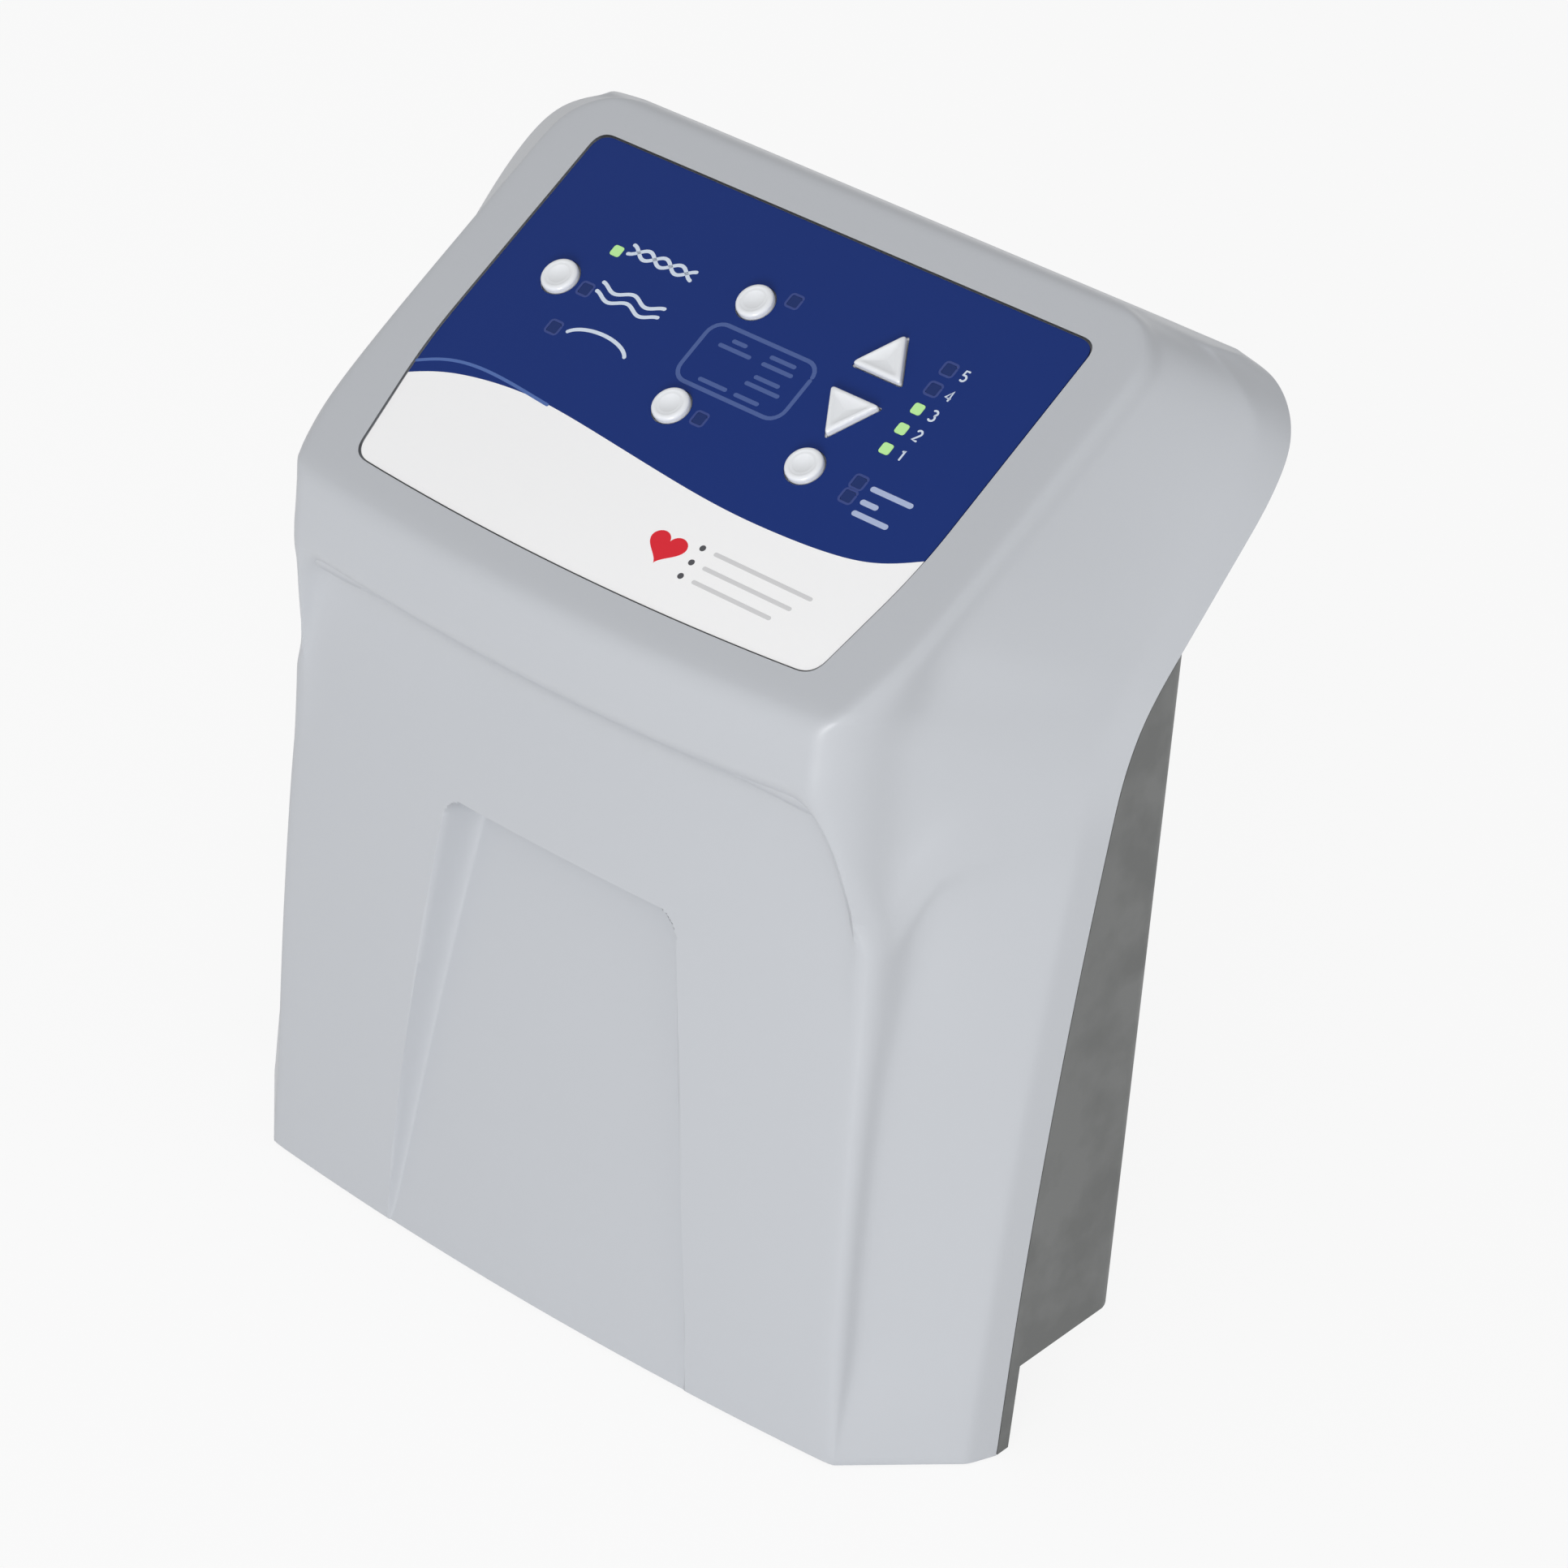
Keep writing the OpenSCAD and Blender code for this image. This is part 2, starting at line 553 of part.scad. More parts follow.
// Laminated core round a wound bobbin, standing on the power board.
module transformer() on_back() translate([62, board_y - 40, 26]) {
    color(steel) difference() {
        cube([50, 40, 42]);
        translate([9, -1, 7]) cube([32, 42, 28]);
    }
    color("#b8742c") translate([9, 4, 7]) cube([32, 32, 28]);
}

module board_screws() color(steel) on_back()
    for (b = [[main_board_x, main_board_z], [power_board_x, power_board_z]],
         x = [b[0][0] + 5, b[0][1] - 5], z = [b[1][0] + 5, b[1][1] - 5])
        translate([x, board_y, z]) rotate([-90, 0, 0]) screw(1.25, 8, 2.8, 1.8);
module valve_screws() color(steel) at_valve()
    for (side = [-1, 1]) translate([side * ear_x, 0, -19]) screw(1.25, 40, 2.8, 1.8);

// Point of the back wall's frame in the housing's frame.
function back_point(p) = [p[0], back_at[0] + p[1] * cos(back_lean) + p[2] * sin(back_lean),
    back_at[1] - p[1] * sin(back_lean) + p[2] * cos(back_lean)];
// Point at t on the smooth curve from a to d, which leaves a towards b and reaches d from c.
function curve(a, b, c, d, t) = let (s = 1 - t)
    a * s * s * s + b * 3 * s * s * t + c * 3 * s * t * t + d * t * t * t;

// Flat cable from the main board up to the panel board.
ribbon_t = 0.9;
ribbon_w = 36;
module ribbon_cable() color("#8f9498") {
    low = back_point([0, board_y - 6.05, 161]);
    high = panel(-32.5, mat_bottom - board_t - 5);
    path = [for (i = [0:12]) curve([low[1], low[2]], [66, 214], high - panel_out * 20, high, i / 12)];
    side = [for (i = [0:12]) let (d = unit(path[min(12, i + 1)] - path[max(0, i - 1)])) [d[1], -d[0]] * ribbon_t];
    translate([-ribbon_w / 2 - 2, 0, 0]) rotate([90, 0, 90]) linear_extrude(ribbon_w)
        polygon(concat(path, [for (i = [12:-1:0]) path[i] + side[i]]));
}

// Compressor: a cast frame on rubber mounts, with a coil that swings a sprung arm on a pin.
comp_x = -112;
comp_w = 96;
comp_z = [22, 96];
comp_y = [-62, -12];
pin_at = [comp_x + 48, comp_z[1] - 9];
pin_r = 2;

module compressor_frame() color(steel) on_back()
    difference() {
        union() {
            translate([comp_x, comp_y[1] - 5, comp_z[0]]) cube([comp_w, 5, comp_z[1] - comp_z[0]]);
            for (y = [comp_y[0], comp_y[1] - 9])
                translate([pin_at[0] - 9, y, comp_z[1] - 20]) cube([18, 4 + (y == comp_y[0] ? 0 : 5), 20]);
            translate([pin_at[0] - 9, comp_y[0], comp_z[1] - 3]) cube([18, comp_y[1] - comp_y[0], 3]);
            translate([comp_x, comp_y[0] + 4, comp_z[0] + 18]) cube([18, 42, 38]);
            translate([comp_x + 9, comp_y[0] + 25, comp_z[0] + 55]) cylinder(r = 3, h = 11);
        }
        translate([pin_at[0], comp_y[0] - 1, pin_at[1]]) rotate([-90, 0, 0]) cylinder(r = pin_r + 0.02, h = 60);
        translate([comp_x + 8, comp_y[0] + 25, comp_z[0] + 37]) rotate([0, 90, 0]) cylinder(r = 14, h = 30);
        for (x = [comp_x + 7, comp_x + comp_w - 7], z = [comp_z[0] + 7, comp_z[1] - 7])
            translate([x, comp_y[1] - 10, z]) rotate([-90, 0, 0]) cylinder(r = 3.2, h = 20);
    }

module arm_pin() color(steel) on_back()
    translate([pin_at[0], comp_y[0] - 0.5, pin_at[1]]) rotate([-90, 0, 0]) cylinder(r = pin_r, h = 49);

// The arm hangs from the pin and carries the diaphragm on one side and the magnets at its foot.
module compressor_arm() color("#8d9296") on_back()
    difference() {
        union() {
            translate([pin_at[0], comp_y[0] + 6, pin_at[1]]) rotate([-90, 0, 0]) cylinder(r = 5, h = 33);
            translate([pin_at[0] - 2.5, comp_y[0] + 10, comp_z[0] + 8]) cube([5, 25, pin_at[1] - comp_z[0] - 8]);
            translate([comp_x + 27, comp_y[0] + 25, comp_z[0] + 37]) rotate([0, 90, 0])
                cylinder(r = 3, h = pin_at[0] - comp_x - 27);
        }
        translate([pin_at[0], comp_y[0], pin_at[1]]) rotate([-90, 0, 0]) cylinder(r = pin_r + 0.06, h = 60);
    }

module arm_magnets() color(black) on_back()
    for (x = [pin_at[0] - 2.5 - 4, pin_at[0] + 2.5])
        translate([x, comp_y[0] + 12, comp_z[0] + 8]) cube([4, 20, 12]);

module diaphragm() color(black) on_back()
    translate([comp_x + 20.5, comp_y[0] + 25, comp_z[0] + 37]) rotate([0, 90, 0]) rotate_extrude()
        polygon([[0, 0], [12, 0], [13, 0.8], [13, 3.2], [12, 4], [9, 4.6], [6, 6.5], [0, 6.5]]);

module compressor_coil() on_back() translate([comp_x + 57, comp_y[0] + 6, comp_z[0] + 2]) {
    color(steel) difference() {
        cube([26, 39, 44]);
        translate([-1, -1, 9]) cube([20, 37, 9]);
        translate([-1, -1, 26]) cube([20, 37, 9]);
    }
    color("#b8742c") translate([0.2, -4, 9.2]) difference() {
        cube([18.5, 39.8, 25.6]);
        translate([-1, 3.8, 8.6]) cube([22, 50, 8.4]);
    }
}

// Rubber mount with a waist that snaps into the frame.
module compressor_mounts() color(black) on_back()
    for (x = [comp_x + 7, comp_x + comp_w - 7], z = [comp_z[0] + 7, comp_z[1] - 7])
        translate([x, -wall, z]) rotate([90, 0, 0]) rotate_extrude()
            polygon([[0, 0], [6, 0], [6, 9.2], [3.1, 9.2], [3.1, 14.3], [5, 14.3], [4, 17], [0, 17]]);

// Rotary valve: a body with three ports, a slotted rotor disc and a geared motor.
valve_ports = [70, 110, 270];
port_reach = 32;
function port_tip(a, r) = back_point(valve_at + [r * cos(a), 9, -r * sin(a)]);

module at_valve() on_back() translate(valve_at) rotate([-90, 0, 0]) children();

module valve_body() color("#d8dadd") at_valve()
    difference() {
        union() {
            cylinder(r = valve_r, h = 14);
            for (a = valve_ports) rotate([0, 0, a]) translate([valve_r - 2, 0, 9])
                rotate([0, 90, 0]) cylinder(r = 3, h = port_reach - valve_r + 2);
            translate([-ear_x - 5, -5, 10]) cube([2 * ear_x + 10, 10, 4]);
        }
        translate([0, 0, -1]) cylinder(r = 16, h = 7);
        cylinder(r = 3.1, h = 11);
        for (a = valve_ports) rotate([0, 0, a]) translate([12, 0, 9]) {
            rotate([0, 90, 0]) cylinder(r = 1.8, h = 22);
            translate([0, 0, -4]) cylinder(r = 1.8, h = 4.8);
        }
        for (side = [-1, 1]) translate([side * ear_x, 0, 9]) cylinder(r = 1.4, h = 6);
    }

module valve_rotor() color("#e6e2d4") at_valve()
    difference() {
        union() {
            translate([0, 0, 0.5]) cylinder(r = 15.5, h = 5);
            cylinder(r = 3.04, h = 10.5);
            translate([0, 0, -1.5]) cylinder(r = 6, h = 2.5);
        }
        translate([0, 0, -3]) cylinder(r = 2.06, h = 6);
        for (a = [0, 120]) rotate([0, 0, a]) translate([12, 0, 3]) cylinder(r = 2.2, h = 4);
    }

module valve_motor() color(steel) at_valve() {
    translate([0, 0, -19]) cylinder(r = 19, h = 17);
    translate([0, 0, -3]) cylinder(r = 2, h = 5.8);
    for (side = [-1, 1]) translate([side * ear_x, 0, -19]) difference() {
        cylinder(r = 3.5, h = 29);
        translate([0, 0, -1]) cylinder(r = 1.4, h = 31);
    }
    difference() {
        translate([-ear_x, -3.5, -19]) cube([2 * ear_x, 7, 2]);
        for (side = [-1, 1]) translate([side * ear_x, 0, -20]) cylinder(r = 1.4, h = 4);
    }
}

// Air tubes by the points of their middle lines.
module tube(route, r) {
    n = 8;
    m = len(route);
    rings = [for (i = [0:m - 1])
        let (d = unit(route[min(m - 1, i + 1)] - route[max(0, i - 1)]),
             side = unit(cross(d, abs(d[1]) < 0.9 ? [0, 1, 0] : [1, 0, 0])), up = cross(side, d))
        [for (k = [0:n - 1]) route[i] + r * (side * cos(k * 45) + up * sin(k * 45))]];
    loft(rings);
}
port_top = 44;
module air_tubes() color("#cfd6dc") {
    n = 10;
    for (i = [0, 1]) {
        foot = [port_x[i], strip_y, port_top];
        a = valve_ports[1 - i];
        tube([for (k = [0:n]) curve(foot, foot + [0, 0, 30], port_tip(a, port_reach + 26), port_tip(a, port_reach), k / n)], 3.6);
    }
    out = [comp_x + 9, comp_y[0] + 25, comp_z[0] + 66];
    tube([for (k = [0:n + 6]) curve(back_point(out), back_point(out + [0, 0, 62]), port_tip(270, port_reach + 44),
        port_tip(270, port_reach), k / (n + 6))], 3.6);
}

// Hose nozzle with a flange outside, a nut thread inside and a bore right through.
module hose_ports() color("#d8dadd")
    for (x = port_x) translate([x, strip_y, tub_floor - nozzle_l]) difference() {
        union() {
            cylinder(d = nozzle_d, h = nozzle_l);
            translate([0, 0, nozzle_l - 3]) cylinder(r = 10, h = 3);
            translate([0, 0, nozzle_l - eps]) cylinder(r = 6, h = 8);
            translate([0, 0, nozzle_l + wall]) cylinder(r = 9, h = 3, $fn = 6);
            translate([0, 0, nozzle_l + 7]) cylinder(r = 3, h = port_top - tub_floor - 7);
        }
        translate([0, 0, -1]) cylinder(r = 2, h = 60);
    }

module filter() color("#4c5054") on_back()
    translate([-filter_w / 2 + 3.4, -7, filter_z - filter_h / 2 + 3.4]) cube([filter_w - 6.8, 6.5, filter_h - 6.8]);

// Snap-on cover with slots over the filter.
module filter_cover() color("#5f6261") on_back() translate([0, 0, filter_z])
    difference() {
        translate([-filter_w / 2 - 2, 0.05, -filter_h / 2 - 2]) cube([filter_w + 4, 2.6, filter_h + 4]);
        for (i = [-4:4]) translate([-filter_w / 2 + 6, -1, i * 4 - 1]) cube([filter_w - 12, 5, 2]);
    }

// Mains inlet for a detachable lead: a flanged socket with three flat pins.
inlet_depth = 16.5;
module mains_inlet() color(black) translate([inlet_x, strip_y, tub_floor]) {
    difference() {
        union() {
            translate([-15.5, -11.5, -3]) cube([31, 23, 3]);
            translate([-13.8, -10, -eps]) cube([27.6, 20, inlet_depth + 1.5]);
        }
        translate([-12.1, -8.1, -4]) cube([24.2, 16.2, inlet_depth + 1]);
    }
    for (p = [[-7, 2], [0, -2], [7, 2]]) translate([p[0] - 1, p[1] - 2, 3]) color(steel) cube([2, 4, 18.5]);
}

module fuse_holders() color(black)
    for (x = fuse_x) translate([x, strip_y, tub_floor]) {
        cylinder(r = 6, h = 28);
        difference() {
            translate([0, 0, -6]) cylinder(r = 7.5, h = 6 + eps);
            translate([-4.5, -0.6, -7]) cube([9, 1.2, 2.5]);
        }
    }

switch_pivot = tub_floor + 4;
rocker_tilt = 8;
module switch_body() color(black) translate([switch_x, strip_y, tub_floor])
    difference() {
        union() {
            translate([-12, -8, -2]) cube([24, 16, 2]);
            translate([-10, -6.5, -eps]) cube([20, 13, 18]);
        }
        translate([-9, -5.4, -3]) cube([18, 10.8, 14]);
        translate([0, 7, 4]) rotate([90, 0, 0]) cylinder(r = 1.06, h = 14);
    }

// Rocker: a shallow V of a key on its own pivot stubs.
module switch_rocker() color("#3a3d40") translate([switch_x, strip_y, switch_pivot]) rotate([0, rocker_tilt, 0]) {
    rotate([90, 0, 0]) translate([0, 0, -5]) linear_extrude(10)
        polygon([[-7.6, -5.6], [0, -4.6], [7.6, -5.6], [7, 1.5], [2, 4], [-2, 4], [-7, 1.5]]);
    translate([0, 6.3, 0]) rotate([90, 0, 0]) cylinder(r = 1, h = 12.6);
}

// Hook: a rod with a leg in two clips, an arm over the footboard and a finger behind it.
leg_low = 104;
collar_z = [126, 131];
arm_r = 9;
finger_y = leg_y + hook_gap + rod_d;
clip_z = [[112, 124], [140, 152]];

module hook_rod() {
    r = rod_d / 2;
    span = finger_y - leg_y - 2 * arm_r;
    translate([0, leg_y, leg_low]) cylinder(r = r, h = arm_z - arm_r - leg_low);
    translate([0, leg_y, collar_z[0]]) cylinder(r = r + 2.2, h = collar_z[1] - collar_z[0]);
    translate([0, leg_y + arm_r, arm_z - arm_r]) rotate([90, 0, -90]) rotate_extrude(angle = 90)
        translate([arm_r, 0]) circle(r = r);
    translate([0, leg_y + arm_r, arm_z]) rotate([-90, 0, 0]) cylinder(r = r, h = span);
    translate([0, finger_y - arm_r, arm_z - arm_r]) rotate([90, 0, 90]) rotate_extrude(angle = 90)
        translate([arm_r, 0]) circle(r = r);
    translate([0, finger_y, arm_z - arm_r - finger_l]) cylinder(r = r, h = finger_l);
}

module left_hook() color(steel) on_back() translate([-hook_x, 0, 0]) hook_rod();
module right_hook() color(steel) on_back() translate([hook_x, 0, 0]) hook_rod();

// Rubber sleeve with a closed end over the finger.
module sleeve(x) color(black) on_back() translate([x, finger_y, arm_z - arm_r - finger_l - 2.5]) difference() {
    cylinder(r = rod_d / 2 + 1.8, h = finger_l - 4);
    translate([0, 0, 2.5]) cylinder(r = rod_d / 2, h = finger_l);
}
module left_sleeve() sleeve(-hook_x);
module right_sleeve() sleeve(hook_x);

// Clips that hold each leg against the back wall.
module hook_clips() color("#5f6261") on_back()
    for (side = [-1, 1], z = clip_z) translate([side * hook_x, 0, z[0]]) difference() {
        union() {
            translate([-13, 0, 0]) cube([26, 5, z[1] - z[0]]);
            translate([-8, 0, 0]) cube([16, leg_y, z[1] - z[0]]);
            translate([0, leg_y, 0]) cylinder(r = 8, h = z[1] - z[0]);
        }
        translate([0, leg_y, -1]) cylinder(r = rod_d / 2 + 0.08, h = 20);
    }

module rear_bumpers() color(black) on_back()
    for (side = [-1, 1]) translate([side * 112, 0, -10]) rotate([-90, 0, 0]) rotate_extrude()
        polygon([[0, 0], [9, 0], [9, 4], [7.5, 6], [0, 6]]);

module housing_screws() color(steel) {
    for (side = [-1, 1], z = boss_low_z) translate([side * boss_x, joint(z)[0] + 7, z])
        rotate([90, 0, 0]) screw(1.5, 16, 3.4, 2.4);
    on_head() for (side = [-1, 1]) translate([side * head_boss[0], head_boss[1], 0]) screw(1.5, 14, 3.4, 2.4);
}

place() front_cover();
place() rear_cover();
place() overlay();
place() button_plate();
place() mode_button();
place() firm_button();
place() lock_button();
place() sound_button();
place() raise_button();
place() lower_button();
place() keypad_mat();
place() lamps();
place() panel_board();
place() panel_screws();
place() main_board();
place() ribbon_cable();
place() power_board();
place() transformer();
place() board_screws();
place() valve_screws();
place() compressor_frame();
place() compressor_coil();
place() compressor_arm();
place() arm_pin();
place() arm_magnets();
place() diaphragm();
place() compressor_mounts();
place() valve_body();
place() valve_rotor();
place() valve_motor();
place() air_tubes();
place() hose_ports();
place() filter();
place() filter_cover();
place() mains_inlet();
place() fuse_holders();
place() switch_body();
place() switch_rocker();
place() hook_clips();
place() left_hook();
place() right_hook();
place() left_sleeve();
place() right_sleeve();
place() rear_bumpers();
place() housing_screws();
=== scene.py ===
"""Looks of a bedside air pump's control unit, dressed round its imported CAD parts.

Lengths are millimetres in the housing's own frame until a mesh is made: x across, y to the back, z up,
from the middle of the front bottom edge. Blender's frame starts at the hooks' seat and is in metres.
"""
import json
import math

import bpy
import numpy as np
from mathutils import Matrix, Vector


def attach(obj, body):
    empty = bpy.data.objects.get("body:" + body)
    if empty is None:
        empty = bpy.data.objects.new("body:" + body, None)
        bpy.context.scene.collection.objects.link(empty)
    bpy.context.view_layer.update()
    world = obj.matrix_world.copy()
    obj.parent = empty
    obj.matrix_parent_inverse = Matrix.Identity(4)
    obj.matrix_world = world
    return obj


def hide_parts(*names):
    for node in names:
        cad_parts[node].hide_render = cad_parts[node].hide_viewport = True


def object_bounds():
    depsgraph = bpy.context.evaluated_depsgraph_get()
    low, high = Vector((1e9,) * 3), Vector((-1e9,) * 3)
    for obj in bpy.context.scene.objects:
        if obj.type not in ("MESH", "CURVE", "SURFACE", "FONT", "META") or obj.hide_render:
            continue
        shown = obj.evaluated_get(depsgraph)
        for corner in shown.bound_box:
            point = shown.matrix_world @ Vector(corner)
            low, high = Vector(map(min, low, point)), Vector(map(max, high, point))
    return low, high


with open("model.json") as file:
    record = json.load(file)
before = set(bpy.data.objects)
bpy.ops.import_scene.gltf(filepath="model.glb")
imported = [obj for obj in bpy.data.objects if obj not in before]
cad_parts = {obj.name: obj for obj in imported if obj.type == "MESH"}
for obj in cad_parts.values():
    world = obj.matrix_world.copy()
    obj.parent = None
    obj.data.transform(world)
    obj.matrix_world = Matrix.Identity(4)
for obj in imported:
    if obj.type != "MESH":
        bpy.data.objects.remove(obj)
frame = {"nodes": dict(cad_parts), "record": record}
cad_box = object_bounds()

MM = 0.001
HOUSING = "housing"

# The panel and the back wall as [y, z]: a point of each and its slope, then the cover's main sizes
PANEL_TILT = math.radians(28.45)
PANEL_AT = np.array([129.2, 293.6])
PANEL_ALONG = np.array([math.cos(PANEL_TILT), math.sin(PANEL_TILT)])
PANEL_OUT = np.array([-math.sin(PANEL_TILT), math.cos(PANEL_TILT)])
BACK_LEAN = math.radians(6)
BACK_AT = np.array([91.8, 51.0])
HALF_W = 141.0
WALL = 2.8
FACE_H = 180.0

# Blender's origin: halfway across the hooks' gap, level with the underside of their arms
SEAT_BACK = [0.0, 33.0, 162.0]


def back_point(p):
    """Point of the back wall's frame (x, out of the wall, up the wall) in the housing's frame."""
    x, out, up = p
    return np.array([x, BACK_AT[0] + out * math.cos(BACK_LEAN) + up * math.sin(BACK_LEAN),
                     BACK_AT[1] - out * math.sin(BACK_LEAN) + up * math.cos(BACK_LEAN)])


SEAT = back_point(SEAT_BACK)


def row(points):
    """Points in the housing's frame as points in Blender's, in metres."""
    return (np.asarray(points, float) - SEAT) * MM


def on_panel(u, v, h):
    """Panel places as housing points: u across, v up the slope from the film's rear edge, h out of it."""
    u, v, h = np.broadcast_arrays(np.asarray(u, float), v, h)
    yz = PANEL_AT + v[..., None] * PANEL_ALONG + h[..., None] * PANEL_OUT
    return np.concatenate([u[..., None], yz], axis=-1)


# Camera, at the photograph's angle
FRAME_PX = 1932
FOCAL_PX = 7500.75
SWING = math.radians(42.26)
DIP = math.radians(33.03)
ROLL = math.radians(0.2)
EYE = [975.4, -966.6, 1069.5]


def add_camera():
    """Camera whose axes come from its swing round the object, its dip and its roll."""
    right = np.array([math.cos(SWING), math.sin(SWING), 0])
    level = np.array([-math.sin(SWING), math.cos(SWING), 0])
    ahead = level * math.cos(DIP) - np.array([0, 0, math.sin(DIP)])
    up = np.cross(right, ahead)
    across = right * math.cos(ROLL) + up * math.sin(ROLL)
    upward = up * math.cos(ROLL) - right * math.sin(ROLL)
    data = bpy.data.cameras.new("camera")
    data.sensor_width = 36
    data.lens = FOCAL_PX / FRAME_PX * data.sensor_width
    data.clip_end = 50
    camera = bpy.data.objects.new("camera", data)
    turn = Matrix(np.column_stack([across, upward, -ahead]).tolist()).to_4x4()
    camera.matrix_world = Matrix.Translation(row(EYE)) @ turn
    bpy.context.scene.collection.objects.link(camera)
    bpy.context.scene.camera = camera


add_camera()


# Meshes

def add_mesh(name, points, faces, smooth=True):
    """Object at the origin from an array of housing points and a list or array of faces."""
    data = bpy.data.meshes.new(name)
    faces = faces.tolist() if isinstance(faces, np.ndarray) else faces
    data.from_pydata(row(points).tolist(), [], faces)
    data.polygons.foreach_set("use_smooth", [smooth] * len(data.polygons))
    data.update()
    piece = bpy.data.objects.new(name, data)
    bpy.context.scene.collection.objects.link(piece)
    return piece


def grid_faces(rows, cols, start=0, closed=False, flip=False):
    """Quads between neighbouring rows of a grid of points. A closed grid's last column joins its first."""
    i = np.arange(rows - 1)[:, None]
    j = np.arange(cols if closed else cols - 1)[None, :]
    k = (j + 1) % cols
    here, above = i * cols, (i + 1) * cols
    quads = np.stack([here + j, here + k, above + k, above + j], axis=-1).reshape(-1, 4)
    return (quads[:, ::-1] if flip else quads) + start


def spline_weights(count, places):
    """Cubic B-spline weights of count control points at each place, a number from 0 to count - 1.
    A place p between points i and i + 1 takes the usual four weights of f = p - i. Past each end
    the row goes on straight, so the curve starts and ends on its first and last points."""
    p = np.asarray(places, float)
    i = np.clip(np.floor(p).astype(int), 0, count - 2)
    f = p - i
    parts = np.stack([(1 - f) ** 3, 3 * f ** 3 - 6 * f ** 2 + 4,
                      -3 * f ** 3 + 3 * f ** 2 + 3 * f + 1, f ** 3]) / 6
    wide = np.zeros((len(p), count + 2))
    for k in range(4):
        np.add.at(wide, (np.arange(len(p)), i + k), parts[k])
    weights = wide[:, 1:-1].copy()
    weights[:, 0] += 2 * wide[:, 0]
    weights[:, 1] -= wide[:, 0]
    weights[:, -1] += 2 * wide[:, -1]
    weights[:, -2] -= wide[:, -1]
    return weights


def places_by_steps(steps):
    """Places for spline_weights with steps[i] equal parts between control points i and i + 1."""
    return np.concatenate([i + np.arange(n) / n for i, n in enumerate(steps)] + [[len(steps)]])


def mix(a, b, t):
    return a + (b - a) * t


def unit(v):
    return v / np.maximum(np.linalg.norm(v, axis=-1, keepdims=True), 1e-9)


def ease(t):
    """Smooth step: 0 below 0, 1 above 1, level at both ends."""
    t = np.clip(t, 0, 1)
    return t * t * (3 - 2 * t)


def bend(a, p, b, cut_a, cut_b, n):
    """Points of the parabola that rounds the corner p between a and b."""
    a, p, b = (np.array(q, float) for q in (a, p, b))
    start, end = p + unit(a - p) * cut_a, p + unit(b - p) * cut_b
    t = np.linspace(0, 1, n + 1)[:, None]
    return start * (1 - t) ** 2 + p * 2 * t * (1 - t) + end * t ** 2


# Front cover

# The joint between the covers, as [y, z]: the head's lower end, its slope and the lengths along it
HEAD_AT = np.array([106.0, 229.0])
HEAD_SLOPE = math.radians(41.9)
HEAD_ALONG = np.array([math.cos(HEAD_SLOPE), math.sin(HEAD_SLOPE)])
HEAD_OUT = np.array([-math.sin(HEAD_SLOPE), math.cos(HEAD_SLOPE)])
HEAD_LEN = 81.4
HEAD_START = -9.0
HEAD_R = 32.0
FOOT_DEPTH = 39.6
JOINT_TOP = 192.0
JOINT_LEAN, JOINT_CURVE = 0.15, 0.00035
BEND_LEN = 24.0
JOINT_CORNER = HEAD_AT - HEAD_ALONG * 25.6


def low_joint(u):
    """The joint line's low curve as [y, z] at the height u."""
    return np.stack([FOOT_DEPTH + JOINT_LEAN * u + JOINT_CURVE * u * u, u], axis=-1)


def joint(u):
    """Joint line between the covers as [y, z] at the length u: a low curve that leans back, a bend,
    then the head's edge."""
    u = np.asarray(u, float)
    run = u[..., None]
    t = (run - JOINT_TOP) / BEND_LEN
    head_start = HEAD_AT + HEAD_ALONG * HEAD_START
    turn = low_joint(JOINT_TOP) * (1 - t) ** 2 + JOINT_CORNER * 2 * t * (1 - t) + head_start * t ** 2
    top = HEAD_AT + HEAD_ALONG * (run - JOINT_TOP - BEND_LEN + HEAD_START)
    return np.where(run <= JOINT_TOP, low_joint(u), np.where(t < 1, turn, top))


def head_u(s):
    """Length along the joint line at the length s along the head's edge."""
    return JOINT_TOP + BEND_LEN + s - HEAD_START


def joint_w(u):
    """Half width of the joint line: full up to the head's round rear corners."""
    s = np.maximum(0, np.asarray(u, float) - head_u(HEAD_LEN - HEAD_R))
    return HALF_W - HEAD_R + np.sqrt(np.maximum(0, HEAD_R ** 2 - s * s))


# The face between its flanges, and the height about which its bow across flattens out
FACE_LEAN, FACE_CURVE = 0.06, 0.00028
FACE_W, FACE_TAPER = 110.4, 1.2
FACE_BOW = 0.0004
FLAT_Z, FLAT_RUN = 192.0, 17.0


def lean(z):
    """How far the front face's middle lies behind its bottom edge at the height z."""
    return FACE_LEAN * z + FACE_CURVE * z * z


def face_w(z):
    return FACE_W - FACE_TAPER * (np.maximum(z, 0) / FACE_H) ** 1.2


def bow_at(z):
    return FACE_BOW * (1 - np.exp(-((z - FLAT_Z) / FLAT_RUN) ** 2))


def panel_line(v):
    return PANEL_AT + np.asarray(v, float)[..., None] * PANEL_ALONG


# Corners of the brow's profile as [y, z], and its half width
BROW_UNDER = [21.5, 194.5]
BROW_LIP = [8.8, 204.5]
BROW_TOP_Y = 9.6
BROW_TOP = [BROW_TOP_Y, PANEL_AT[1] + (BROW_TOP_Y - PANEL_AT[0]) * math.tan(PANEL_TILT)]
BROW_W = 97.2

